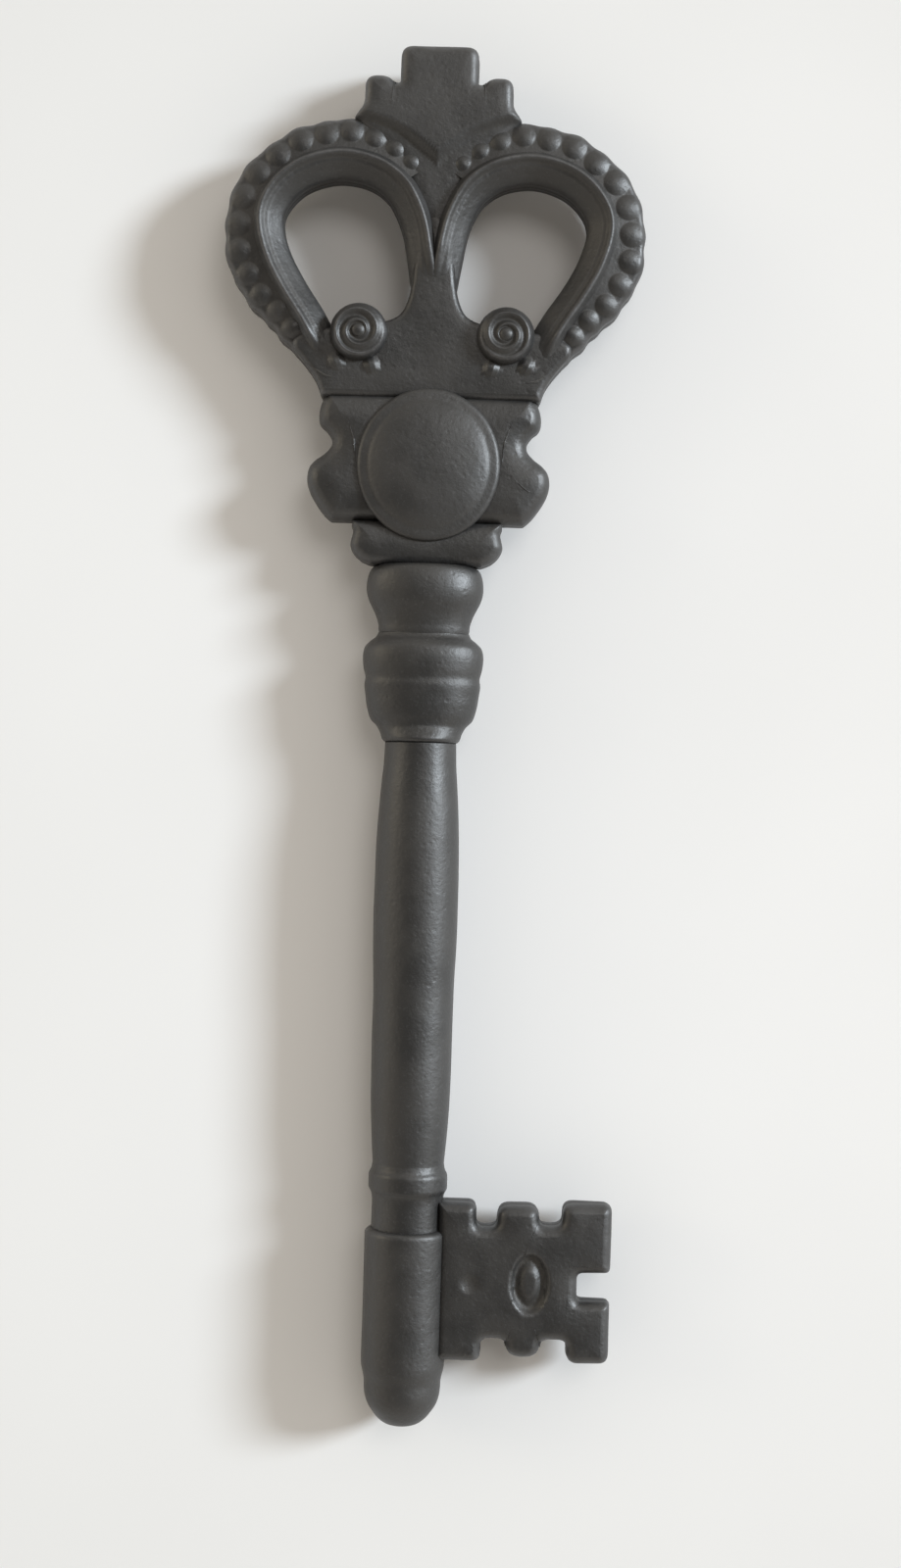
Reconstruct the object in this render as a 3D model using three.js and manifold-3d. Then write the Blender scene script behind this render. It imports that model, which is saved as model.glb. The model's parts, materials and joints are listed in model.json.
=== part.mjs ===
// Decorative skeleton key, lying on its back.
// Lengths are in millimetres. X runs toward the bit, Y toward the crown and Z up, away from the table.
// The key is built about its own axis, with the tip of the barrel at Y = 0 and the mid-plane at Z = 0.
// The last group then moves it so that it rests on Z = 0, with the origin under the middle of its length.

import * as THREE from 'three';
import { mergeVertices } from 'three/addons/utils/BufferGeometryUtils.js';
import Module from 'manifold-3d';

const wasm = await Module();
wasm.setup();

// Sizes that every piece shares
const restHalfDepth = 8;
const fitClearance = 0.3;
const edgeBevel = 0.9;
const cutterOverrun = 2;
const weldDistance = 0.0005;
const roundSteps = 24;
const smallSteps = 12;
const beadSteps = 8;
const armSteps = 26;
const rollSteps = 18;
const rollSides = 5;
const footEdgeSteps = 8;
const collarEdgeSteps = 26;
const bowEdgeSteps = 40;
const eyeEdgeSteps = 24;
const grooveEdgeSteps = 260;

// Barrel end, shank and knops, each length measured along the key
const barrelLength = 38;
const barrelRadius = 7.95;
const barrelTipLength = 9.5;
const barrelShoulder = 0.7;
const shankLength = 93;
const shankFootRadius = 6.7;
const shankWaistRadius = 7.95;
const shankRingAt = 6.5;
const shankRingLength = 4.5;
const shankRingProud = 0.7;
const shankTenonRadius = 3;
const barrelTenonLength = 12;
const collarTenonLength = 5;
const lowerKnopLength = 20;
const lowerKnopRadius = 11.5;
const upperKnopLength = 12.6;
const upperKnopRadius = 11.1;
const knopHalfDepth = 7.9;

// Collar, its foot and the two medallions
const collarFootLength = 8;
const collarFootHalfWidth = 14.6;
const collarFootHalfDepth = 4.8;
const collarLength = 23.4;
const collarHalfWidth = 23.4;
const collarHalfDepth = 5;
const medallionAt = 10.8;
const medallionHalfWidth = 13.7;
const medallionHalfLength = 14.6;
const medallionRimHeight = 0.7;
const medallionPegRadius = 3.4;

// Bow: base block, arms, beaded rims and scrolls
const bowHalfWidth = 40.3;
const bowHeight = 54;
const baseHalfDepth = 4.8;
const baseTongueHalfWidth = 6.5;
const baseTongueHalfDepth = 2.5;
const baseTongueLength = 5.5;
const baseBeadRadius = 1.4;
const baseBeadProud = 1;
const armWidth = 5.2;
const armHalfDepth = 6.4;
const armTongueReach = 1.5;
const armTongueHalfDepth = 1.5;
const armPegRadius = 1.1;
const armPegLength = 4;
const rimHalfDepth = 5.2;
const rimPegRadius = 1.1;
const rimPegLength = 4;
const beadRadius = 1.9;
const beadProud = 1.2;
const beadInset = 3.3;
const scrollRadius = 5.5;
const scrollEyeRadius = 1.3;
const scrollRestClearance = 0.05;
const scrollPegRadius = 1.4;
const scrollPegLength = 3;
const beadsPerRim = 16;
const scrollTurns = 1.25;

// Crown
const crownHalfWidth = 14.2;
const crownFootHalfWidth = 15.8;
const crownFootHeight = 0.1;
const crownWaistHeight = 1.7;
const crownSidePostHeight = 7.3;
const crownHeight = 13.3;
const crownCentreHalfWidth = 7.5;
const crownHalfDepth = 5.6;
const crownNotchWidth = 1.8;
const crownNotchDepth = 1.3;
const crownPostCorner = 1.6;
const crownTopCorner = 2.6;
const crownPegRadius = 1.5;
const crownPegWall = 0.6;

// Bit, measured across from the axis of the key and along from the tip
const bitReach = 39.3;
const bitHalfDepth = 4.4;
const bitRootShare = 0.349;
const bitRootStart = 13;
const bitRootLength = 31;
const bitMiddleNearShare = 0.443;
const bitMiddleFarShare = 0.646;
const bitMiddleStart = 14;
const bitMiddleLength = 29.5;
const bitOuterNearShare = 0.763;
const bitOuterStart = 12.3;
const bitOuterLength = 32;
const bitValleyStart = 17.2;
const bitValleyLength = 22.8;
const bitCornerRadius = 1.4;
const bitFootCornerRadius = 1.8;
const bitSlotCorner = 0.9;
const bitSlotWidth = 4.5;
const bitSlotDepth = 6.4;
const bitSlotAlong = 27.85;
const bitOvalShare = 0.606;
const bitOvalAlong = 28.4;
const bitOvalHalfWidth = 4.1;
const bitOvalHalfLength = 5.65;
const bitOvalDepth = 1.3;
const bitBossHalfWidth = 1.8;
const bitBossHalfLength = 3.1;
const bitBossHeight = 1;
const bitDimpleShare = 0.31;
const bitDimpleRadius = 1.7;
const bitDimpleDepth = 0.8;
const bitTangStart = 17;
const bitTangLength = 17;
const bitTangHalfDepth = 2.2;
const bitTangDepth = 3.1;

// Places along the key, worked out from the lengths above
const shankStart = barrelLength + fitClearance;
const lowerKnopStart = shankStart + shankLength + fitClearance;
const upperKnopStart = lowerKnopStart + lowerKnopLength + fitClearance;
const collarFootStart = upperKnopStart + upperKnopLength + fitClearance;
const collarStart = collarFootStart + collarFootLength + fitClearance;
const bowStart = collarStart + collarLength + fitClearance;
const overallLength = bowStart + bowHeight + crownHeight;

// The roll of a scroll fills the face from its rim to its eye, with the fit clearance between its turns
const scrollRollRoom = scrollRadius - scrollEyeRadius - scrollTurns * fitClearance;
const scrollRollRadius = scrollRollRoom / (2 * scrollTurns + 2);
const scrollHalfDepth = restHalfDepth - scrollRestClearance - scrollRollRadius;

// Turned profiles, each point a share of the radius and a share of the length
const barrelTipShares = [
  [0, 0], [0.41, 0.06], [0.6, 0.18], [0.72, 0.3], [0.81, 0.42], [0.87, 0.55], [0.905, 0.7], [0.92, 0.95],
];
const shankSwellShares = [
  [0, 0], [0.5, 0.14], [0.68, 0.28], [0.94, 0.48], [1, 0.66], [0.9, 0.77], [0.55, 0.88], [0.22, 1],
];
const lowerKnopShares = [
  [0.7, 0], [0.727, 0.08], [0.85, 0.17], [0.91, 0.29], [0.945, 0.41], [0.963, 0.52], [0.943, 0.575],
  [0.987, 0.69], [1, 0.8], [0.9, 0.91], [0.765, 1],
];
const upperKnopShares = [
  [0.77, 0], [0.78, 0.07], [0.83, 0.26], [0.9, 0.38], [0.965, 0.48], [1, 0.63], [0.99, 0.82],
  [0.955, 0.92], [0.9, 1],
];
const domeShares = [[1, 0], [0.95, 0.2], [0.82, 0.52], [0.6, 0.8], [0.32, 0.96], [0, 1]];
const flatBackShares = [[1, 0], [0.94, 0.25], [0.8, 0.68], [0.62, 1], [0, 1]];

// Right-hand outlines of flat pieces, each point a share of the half width and a share of the length
const collarFootShares = [[0.75, 0], [0.92, 0.14], [1, 0.42], [0.955, 0.7], [0.98, 0.87], [0.975, 1]];
const collarShares = [
  [0.806, 0], [0.915, 0.145], [0.991, 0.34], [0.979, 0.436], [0.872, 0.53], [0.8, 0.615],
  [0.893, 0.765], [0.91, 0.87], [0.88, 1],
];
const bowOuterShares = [
  [0, 0.832], [0.21, 0.944], [0.42, 0.984], [0.565, 0.967], [0.72, 0.922], [0.873, 0.834], [0.983, 0.693],
  [0.998, 0.554], [0.938, 0.389], [0.782, 0.248], [0.623, 0.131], [0.56, 0.06],
];
const eyeShares = [
  [0.476, 0.248], [0.529, 0.315], [0.608, 0.403], [0.68, 0.502], [0.717, 0.594], [0.715, 0.639],
  [0.667, 0.696], [0.593, 0.739], [0.459, 0.767], [0.318, 0.748], [0.233, 0.706], [0.194, 0.659],
  [0.164, 0.606], [0.146, 0.554], [0.134, 0.498], [0.119, 0.431], [0.111, 0.395],
];
const baseShares = [
  [0.514, 0], [0.543, 0.046], [0.573, 0.085], [0.63, 0.137], [0.536, 0.224], [0.355, 0.246],
  [0.197, 0.296], [0.166, 0.326], [0.139, 0.357], [0.112, 0.391],
];
const baseBeadShares = [[0.452, 0.12], [0.295, 0.116]];
const scrollCentreShare = [0.355, 0.246];
const rimFootShares = [[0.63, 0.137], [0.536, 0.224]];
const rimPegShare = 0.33;
const rimTailShare = 0.61;

// Cross section of an arm, each point a share of its width from the eye outward and of its half depth
const armSectionShares = [
  [0, 0.4], [0.14, 0.76], [0.36, 0.97], [0.56, 1], [0.74, 0.87], [0.88, 0.96], [1, 0.86],
];

// Turns a closed geometry into a solid that can be joined and cut
function solid(geometry) {
  const bare = geometry.clone();
  bare.deleteAttribute('normal');
  bare.deleteAttribute('uv');
  const merged = mergeVertices(bare, weldDistance);
  const position = merged.attributes.position;
  const corners = [0, 1, 2].map(() => new THREE.Vector3());
  const triangles = [];
  let signedVolume = 0;
  for (let i = 0; i < merged.index.count; i += 3) {
    const triangle = [merged.index.getX(i), merged.index.getX(i + 1), merged.index.getX(i + 2)];
    if (new Set(triangle).size === 3) {
      corners.forEach((corner, k) => corner.fromBufferAttribute(position, triangle[k]));
      signedVolume += corners[0].dot(corners[1].clone().cross(corners[2]));
      triangles.push(triangle);
    }
  }
  if (signedVolume < 0) {
    triangles.forEach((triangle) => triangle.reverse());
  }
  return new wasm.Manifold(new wasm.Mesh({
    numProp: 3,
    vertProperties: new Float32Array(position.array),
    triVerts: new Uint32Array(triangles.flat()),
  }));
}

// Turns a finished solid back into a geometry
function geometryOf(body) {
  const mesh = body.getMesh();
  const geometry = new THREE.BufferGeometry();
  geometry.setAttribute('position', new THREE.BufferAttribute(mesh.vertProperties, 3));
  geometry.setIndex(new THREE.BufferAttribute(mesh.triVerts, 1));
  geometry.computeVertexNormals();
  return geometry;
}

// The same piece for the left side of the key
function mirrored(body) {
  const geometry = geometryOf(body);
  geometry.scale(-1, 1, 1);
  return solid(geometry);
}

// Joins a list of solids, or cuts a list of solids from the first one
function joined(bodies) {
  return bodies.reduce((whole, body) => whole.add(body));
}

function cut(body, cutters) {
  return cutters.reduce((rest, cutter) => rest.subtract(cutter), body);
}

// A round solid about the key's axis, from points of radius and place along the axis
function turned(points, squash = 1) {
  const profile = points.map(([radius, along]) => new THREE.Vector2(radius, along));
  const geometry = new THREE.LatheGeometry(profile, roundSteps);
  geometry.scale(1, 1, squash);
  return solid(geometry);
}

// A round rod between two points of the mid-plane
function rod(radius, from, to, steps = smallSteps) {
  const along = new THREE.Vector2().subVectors(to, from);
  const geometry = new THREE.CylinderGeometry(radius, radius, along.length(), steps);
  geometry.rotateZ(along.angle() - Math.PI / 2);
  geometry.translate((from.x + to.x) / 2, (from.y + to.y) / 2, 0);
  return solid(geometry);
}

function axisRod(radius, from, to) {
  return rod(radius, new THREE.Vector2(0, from), new THREE.Vector2(0, to), roundSteps);
}

function block(fromX, toX, fromY, toY, halfDepth) {
  const geometry = new THREE.BoxGeometry(toX - fromX, toY - fromY, 2 * halfDepth);
  geometry.translate((fromX + toX) / 2, (fromY + toY) / 2, 0);
  return solid(geometry);
}

function ellipsoid(halfSizes, centre, steps = smallSteps) {
  const geometry = new THREE.SphereGeometry(1, steps, steps / 2);
  geometry.rotateX(Math.PI / 2);
  geometry.scale(...halfSizes);
  geometry.translate(...centre);
  return solid(geometry);
}

// A low round bead on the front of a flat piece, and its twin on the back
function beadPair(place, radius, halfDepth, proud) {
  const halfSizes = [radius, radius, proud];
  return [-1, 1].map((face) => ellipsoid(halfSizes, [place.x, place.y, face * halfDepth], beadSteps));
}

// A flat piece of an outline, centred on the mid-plane, with its front and back edges bevelled
function plate(points, halfDepth, bevel = edgeBevel) {
  const geometry = new THREE.ExtrudeGeometry(new THREE.Shape(points), {
    depth: 2 * (halfDepth - bevel),
    bevelThickness: bevel,
    bevelSize: bevel,
    bevelOffset: -bevel,
    bevelSegments: 2,
  });
  geometry.translate(0, 0, bevel - halfDepth);
  return solid(geometry);
}

// The room that a flat piece takes in its neighbour: its outline grown by the fit clearance
function roomFor(points, halfDepth) {
  const geometry = new THREE.ExtrudeGeometry(new THREE.Shape(points), {
    depth: 2 * halfDepth,
    bevelThickness: 0,
    bevelSize: 0,
    bevelOffset: fitClearance,
    bevelSegments: 0,
  });
  geometry.translate(0, 0, -halfDepth);
  return solid(geometry);
}

// Points from shares of a half width and a length
function scaled(shares, halfWidth, length) {
  return shares.map(([across, along]) => new THREE.Vector2(across * halfWidth, along * length));
}

function smoothCurve(points) {
  const path = points.map((point) => new THREE.Vector3(point.x, point.y, 0));
  return new THREE.CatmullRomCurve3(path, false, 'centripetal');
}

function smoothPoints(points, steps) {
  return smoothCurve(points).getSpacedPoints(steps).map((point) => new THREE.Vector2(point.x, point.y));
}

// A closed outline from its right-hand half
function bothSides(right) {
  const left = right.filter((point) => point.x > 0).map((point) => new THREE.Vector2(-point.x, point.y));
  return right.concat(left.reverse());
}

// A closed outline whose corners are rounded, each corner given as its point and its radius
function roundedOutline(corners, steps = 2) {
  const points = [];
  corners.forEach(([corner, radius], i) => {
    const before = corners[(i + corners.length - 1) % corners.length][0];
    const after = corners[(i + 1) % corners.length][0];
    if (radius === 0) {
      points.push(corner);
      return;
    }
    const start = new THREE.Vector2().subVectors(before, corner).setLength(radius).add(corner);
    const end = new THREE.Vector2().subVectors(after, corner).setLength(radius).add(corner);
    points.push(...new THREE.QuadraticBezierCurve(start, corner, end).getPoints(steps));
  });
  return points;
}

// Barrel end: the thick round end of the shank, with a socket for the shank and a slot for the bit
function barrelProfile(grow) {
  const tip = barrelTipShares.map(([radius, along]) => [radius * barrelRadius, along * barrelTipLength]);
  const side = [
    [barrelRadius, barrelTipLength + barrelShoulder],
    [barrelRadius, barrelLength - barrelShoulder],
    [barrelRadius - barrelShoulder, barrelLength],
  ];
  const outside = tip.concat(side).map(([radius, along]) => [radius + grow, along]);
  return [[0, 0]].concat(outside.slice(1), [[0, barrelLength]]);
}

function barrelEnd() {
  const socket = axisRod(
    shankTenonRadius + fitClearance,
    barrelLength - barrelTenonLength,
    barrelLength + cutterOverrun,
  );
  return cut(turned(barrelProfile(0)), [socket, bitTang(fitClearance)]);
}

// Shank: a slightly swelling rod with a thin bead near its foot and a tenon at each end
function shankProfile(grow) {
  const swell = shankWaistRadius - shankFootRadius;
  const ringEnd = shankRingAt + shankRingLength;
  const bead = shankFootRadius + shankRingProud;
  const foot = [
    [shankFootRadius, 0],
    [shankFootRadius, shankRingAt],
    [bead, shankRingAt + shankRingProud],
    [bead, ringEnd - shankRingProud],
  ];
  const body = shankSwellShares.map(([fullness, along]) => [
    shankFootRadius + fullness * swell,
    ringEnd + along * (shankLength - ringEnd),
  ]);
  return foot.concat(body).map(([radius, along]) => [radius + grow, along]);
}

function shank() {
  const tenonStart = fitClearance - barrelTenonLength;
  const tenonEnd = collarStart + collarTenonLength - shankStart;
  return turned([
    [0, tenonStart],
    [shankTenonRadius, tenonStart],
    [shankTenonRadius, 0],
    ...shankProfile(0),
    [shankTenonRadius, shankLength],
    [shankTenonRadius, tenonEnd],
    [0, tenonEnd],
  ]);
}

// Knops: turned beads, flattened front and back, threaded on the long tenon of the shank
function knop(shares, radius, length) {
  const profile = shares.map(([out, along]) => [out * radius, along * length]);
  const outside = turned([[0, 0], ...profile, [0, length]], knopHalfDepth / radius);
  return cut(outside, [axisRod(shankTenonRadius + fitClearance, -cutterOverrun, length + cutterOverrun)]);
}

// Collar foot: a small lobed plate on the same tenon
function collarFoot() {
  const right = smoothPoints(scaled(collarFootShares, collarFootHalfWidth, collarFootLength), footEdgeSteps);
  const outside = plate(bothSides(right), collarFootHalfDepth);
  const bore = axisRod(shankTenonRadius + fitClearance, -cutterOverrun, collarFootLength + cutterOverrun);
  return cut(outside, [bore]);
}

// Collar: the wide lobed plate that joins the shank to the bow and carries the medallions
function collarPlate() {
  const right = smoothPoints(scaled(collarShares, collarHalfWidth, collarLength), collarEdgeSteps);
  const pegHole = new THREE.CylinderGeometry(
    medallionPegRadius + fitClearance,
    medallionPegRadius + fitClearance,
    2 * (collarHalfDepth + cutterOverrun),
    smallSteps,
  );
  pegHole.rotateX(Math.PI / 2);
  pegHole.translate(0, medallionAt, 0);
  return cut(plate(bothSides(right), collarHalfDepth), [
    solid(pegHole),
    axisRod(shankTenonRadius + fitClearance, -cutterOverrun, collarTenonLength + fitClearance),
    block(
      -baseTongueHalfWidth - fitClearance,
      baseTongueHalfWidth + fitClearance,
      collarLength - baseTongueLength,
      collarLength + cutterOverrun,
      baseTongueHalfDepth + fitClearance,
    ),
  ]);
}

// Medallion: an oval dome with a peg that plugs half way into the collar
function medallion(shares) {
  const domeHeight = restHalfDepth - collarHalfDepth - medallionRimHeight;
  const dome = shares.map(([out, up]) => new THREE.Vector2(out, medallionRimHeight + up * domeHeight));
  const profile = [new THREE.Vector2(0, 0), new THREE.Vector2(1, 0), ...dome];
  const outside = new THREE.LatheGeometry(profile, roundSteps);
  outside.rotateX(Math.PI / 2);
  outside.scale(medallionHalfWidth, medallionHalfLength, 1);
  const pegLength = collarHalfDepth - fitClearance / 2;
  const pegSpan = pegLength + medallionRimHeight;
  const peg = new THREE.CylinderGeometry(medallionPegRadius, medallionPegRadius, pegSpan, smallSteps);
  peg.rotateX(Math.PI / 2);
  peg.translate(0, 0, (medallionRimHeight - pegLength) / 2);
  return joined([solid(outside), solid(peg)]);
}

// Outlines of the bow, in the bow's own frame
const bowOuter = smoothPoints(scaled(bowOuterShares, bowHalfWidth, bowHeight), bowEdgeSteps);
const eyeEdge = smoothCurve(scaled(eyeShares, bowHalfWidth, bowHeight));
const [scrollCentre] = scaled([scrollCentreShare], bowHalfWidth, bowHeight);
const baseRight = scaled(baseShares, bowHalfWidth, bowHeight);
const baseTop = baseRight.at(-1);
const baseOutline = bothSides([new THREE.Vector2(0, 0), ...baseRight, new THREE.Vector2(0, baseTop.y)]);
const [rimFootOuter, rimFootInner] = scaled(rimFootShares, bowHalfWidth, bowHeight);
const archHalfDepth = restHalfDepth + cutterOverrun;

// Points beside a path, moved to the left of the way it runs by the given distance
function beside(points, distance) {
  return points.map((point, i) => {
    const before = points[Math.max(i - 1, 0)];
    const after = points[Math.min(i + 1, points.length - 1)];
    const along = new THREE.Vector2().subVectors(after, before).normalize();
    return new THREE.Vector2(point.x - along.y * distance, point.y + along.x * distance);
  });
}

// Everything on the left of the key's axis, so that a right-hand piece stops short of its twin
function leftHalf() {
  return block(-2 * bowHalfWidth, fitClearance / 2, -bowHeight, 2 * bowHeight, archHalfDepth);
}

// Scroll: a drum with a spiral roll on each face and a peg that holds it in the base block
function spiralRoll(face) {
  const inner = scrollEyeRadius + scrollRollRadius;
  const outer = scrollRadius - scrollRollRadius;
  const path = [];
  for (let i = 0; i <= rollSteps; i += 1) {
    const share = i / rollSteps;
    const turn = 2 * Math.PI * scrollTurns * share;
    const radius = outer + (inner - outer) * share;
    path.push(new THREE.Vector3(radius * Math.cos(turn), radius * Math.sin(turn), face * scrollHalfDepth));
  }
  const circle = new THREE.EllipseCurve(0, 0, scrollRollRadius, scrollRollRadius);
  const section = new THREE.Shape(circle.getPoints(rollSides));
  const geometry = new THREE.ExtrudeGeometry(section, {
    steps: rollSteps,
    extrudePath: new THREE.CatmullRomCurve3(path),
    bevelEnabled: false,
  });
  return solid(geometry);
}

function scrollDrum(grow) {
  const radius = scrollRadius + grow;
  const half = grow > 0 ? archHalfDepth : scrollHalfDepth;
  const geometry = new THREE.CylinderGeometry(radius, radius, 2 * half, roundSteps);
  geometry.rotateX(Math.PI / 2);
  return solid(geometry);
}

function scrollPeg(grow) {
  const foot = new THREE.Vector2(0, -scrollRadius - scrollPegLength - grow);
  return rod(scrollPegRadius + grow, new THREE.Vector2(0, -scrollRadius / 2), foot);
}

function scroll() {
  const eyeRadius = scrollEyeRadius - fitClearance;
  const eyes = [-1, 1].map((face) => ellipsoid(
    [eyeRadius, eyeRadius, scrollRollRadius],
    [0, 0, face * scrollHalfDepth],
  ));
  return joined([scrollDrum(0), scrollPeg(0), spiralRoll(1), spiralRoll(-1), ...eyes]);
}

function atScroll(body) {
  const geometry = geometryOf(body);
  geometry.translate(scrollCentre.x, scrollCentre.y, 0);
  return solid(geometry);
}

// Pegs that pin the arms and rims to the base block
function armPeg(grow) {
  const across = baseTop.x / 2;
  const foot = new THREE.Vector2(across, baseTop.y - armPegLength - grow);
  return rod(armPegRadius + grow, new THREE.Vector2(across, baseTop.y + 2 * armPegRadius), foot);
}

function rimPeg(grow) {
  const middle = new THREE.Vector2().lerpVectors(rimFootOuter, rimFootInner, rimPegShare);
  const edge = new THREE.Vector2().subVectors(rimFootInner, rimFootOuter).normalize();
  const inward = new THREE.Vector2(edge.y, -edge.x).negate();
  const foot = inward.clone().multiplyScalar(rimPegLength + grow).add(middle);
  const head = inward.clone().multiplyScalar(-2 * rimPegRadius).add(middle);
  return rod(rimPegRadius + grow, head, foot);
}

// Base block: carries the scrolls, arms and rims, and its tongue sits in the collar
function bowBase() {
  const beads = bothSides(scaled(baseBeadShares, bowHalfWidth, bowHeight))
    .flatMap((place) => beadPair(place, baseBeadRadius, baseHalfDepth, baseBeadProud));
  const tongue = block(
    -baseTongueHalfWidth,
    baseTongueHalfWidth,
    -baseTongueLength,
    edgeBevel + fitClearance,
    baseTongueHalfDepth,
  );
  const cutters = [
    atScroll(scrollDrum(fitClearance)),
    atScroll(scrollPeg(fitClearance)),
    armPeg(fitClearance),
    rimPeg(fitClearance),
  ];
  const body = joined([plate(baseOutline, baseHalfDepth), tongue, ...beads]);
  return cut(body, cutters.concat(cutters.map(mirrored)));
}

// Arm: a moulded bar round one eye of the bow, with a tongue that keys it into the beaded rim
function armSweep(grow) {
  const front = armSectionShares.map(([out, up]) => new THREE.Vector2(up * armHalfDepth, -out * armWidth));
  const side = -armWidth - grow;
  const reach = -armWidth - armTongueReach - grow;
  const half = armTongueHalfDepth + grow;
  const section = grow > 0
    ? [[archHalfDepth, 0], [archHalfDepth, side], [half, side], [half, reach]]
    : [...front.map((point) => [point.x, point.y]), [half, side], [half, reach]];
  const back = section.map(([depth, out]) => [-depth, out]).reverse();
  const shape = new THREE.Shape(section.concat(back).map(([depth, out]) => new THREE.Vector2(depth, out)));
  const sweep = { steps: armSteps, extrudePath: eyeEdge, bevelEnabled: false };
  return solid(new THREE.ExtrudeGeometry(shape, sweep));
}

function bowArm() {
  const body = cut(armSweep(0), [
    leftHalf(),
    roomFor(baseOutline, archHalfDepth),
    atScroll(scrollDrum(fitClearance)),
    rimPeg(fitClearance),
  ]);
  return joined([body, armPeg(0)]);
}

// Beaded rim: the outer band of the bow, with a row of domes on each face
function beadedRim() {
  const eye = smoothPoints(scaled(eyeShares, bowHalfWidth, bowHeight), eyeEdgeSteps);
  const pastAxis = [
    new THREE.Vector2(-armWidth, bowOuter.at(-1).y),
    new THREE.Vector2(-armWidth, bowOuter[0].y),
  ];
  const inside = beside(eye, -armWidth / 2);
  const eyeRoom = roomFor(inside, archHalfDepth);
  const webRoom = block(-2 * armWidth, inside[0].x, 0, rimTailShare * bowHeight, archHalfDepth);
  const band = cut(plate([...bowOuter, ...pastAxis], rimHalfDepth), [eyeRoom, webRoom]);
  const beadLine = smoothCurve(beside(bowOuter, -beadInset));
  const beads = [];
  for (let i = 0; i < beadsPerRim; i += 1) {
    const place = beadLine.getPointAt((i + 1) / (beadsPerRim + 2));
    beads.push(...beadPair(place, beadRadius, rimHalfDepth, beadProud));
  }
  const body = cut(joined([band, ...beads]), [
    leftHalf(),
    armSweep(fitClearance),
    roomFor(baseOutline, archHalfDepth),
    crownPeg(fitClearance),
  ]);
  return joined([body, rimPeg(0)]);
}

// Crown: three posts on a band that fits the dip between the two rims.
// Its peg goes down between the rims and stops short of the groove that takes the tongues of the arms.
const cuspHeight = bowOuter[0].y;
const grooveReach = armWidth + armTongueReach + fitClearance;
const grooveEdge = beside(eyeEdge.getSpacedPoints(grooveEdgeSteps), -grooveReach);
const overPeg = grooveEdge.filter((point) => Math.abs(point.x) < crownPegRadius + fitClearance);
const grooveTop = Math.max(...overPeg.map((point) => point.y));
const crownPegLength = cuspHeight - grooveTop - crownPegWall;

function crownPeg(grow) {
  return axisRod(
    crownPegRadius + grow,
    cuspHeight - crownPegLength - grow,
    cuspHeight + crownPegLength,
  );
}

function crown() {
  const postTop = bowHeight + crownSidePostHeight;
  const top = bowHeight + crownHeight;
  const notch = postTop - crownNotchDepth;
  const corner = (x, y, radius) => [new THREE.Vector2(x, y), radius];
  const right = [
    corner(crownFootHalfWidth, cuspHeight, 0),
    corner(crownFootHalfWidth, bowHeight + crownFootHeight, 0),
    corner(crownHalfWidth, bowHeight + crownWaistHeight, crownTopCorner / 2),
    corner(crownHalfWidth, postTop, crownPostCorner),
    corner(crownCentreHalfWidth + crownNotchWidth, postTop, crownPostCorner / 2),
    corner(crownCentreHalfWidth + crownNotchWidth / 2, notch, 0),
    corner(crownCentreHalfWidth, notch, 0),
    corner(crownCentreHalfWidth, top, crownTopCorner),
  ];
  const left = right.map(([point, radius]) => corner(-point.x, point.y, radius)).reverse();
  const outside = plate(roundedOutline(right.concat(left)), crownHalfDepth);
  const bowRoom = roomFor(bothSides([...bowOuter, new THREE.Vector2(0, bowOuter.at(-1).y)]), archHalfDepth);
  return joined([cut(outside, [bowRoom]), crownPeg(0)]);
}

// Bit: a lobed plate with a slot in its outer edge and an oval sunk into each face
function bitTang(grow) {
  return block(
    barrelRadius - bitTangDepth - grow,
    barrelRadius + cutterOverrun,
    bitTangStart - grow,
    bitTangStart + bitTangLength + grow,
    bitTangHalfDepth + grow,
  );
}

function bitOutline() {
  const corner = (x, y, radius = bitCornerRadius) => [new THREE.Vector2(x, y), radius];
  const rootEnd = bitRootStart + bitRootLength;
  const middleEnd = bitMiddleStart + bitMiddleLength;
  const rootReach = bitRootShare * bitReach;
  const middleNear = bitMiddleNearShare * bitReach;
  const middleFar = bitMiddleFarShare * bitReach;
  const outerNear = bitOuterNearShare * bitReach;
  const outerEnd = bitOuterStart + bitOuterLength;
  const valleyEnd = bitValleyStart + bitValleyLength;
  const slotStart = bitSlotAlong - bitSlotWidth / 2;
  const slotEnd = bitSlotAlong + bitSlotWidth / 2;
  const slotNear = bitReach - bitSlotDepth;
  const footRadius = bitFootCornerRadius;
  return roundedOutline([
    corner(0, bitRootStart, 0), corner(rootReach, bitRootStart),
    corner(rootReach, bitValleyStart), corner(middleNear, bitValleyStart),
    corner(middleNear, bitMiddleStart, footRadius), corner(middleFar, bitMiddleStart, footRadius),
    corner(middleFar, bitValleyStart), corner(outerNear, bitValleyStart),
    corner(outerNear, bitOuterStart, footRadius), corner(bitReach, bitOuterStart, footRadius),
    corner(bitReach, slotStart, bitSlotCorner), corner(slotNear, slotStart, bitSlotCorner),
    corner(slotNear, slotEnd, bitSlotCorner), corner(bitReach, slotEnd, bitSlotCorner),
    corner(bitReach, outerEnd), corner(outerNear, outerEnd),
    corner(outerNear, valleyEnd), corner(middleFar, valleyEnd),
    corner(middleFar, middleEnd), corner(middleNear, middleEnd),
    corner(middleNear, valleyEnd), corner(rootReach, valleyEnd),
    corner(rootReach, rootEnd), corner(0, rootEnd, 0),
  ]);
}

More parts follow.
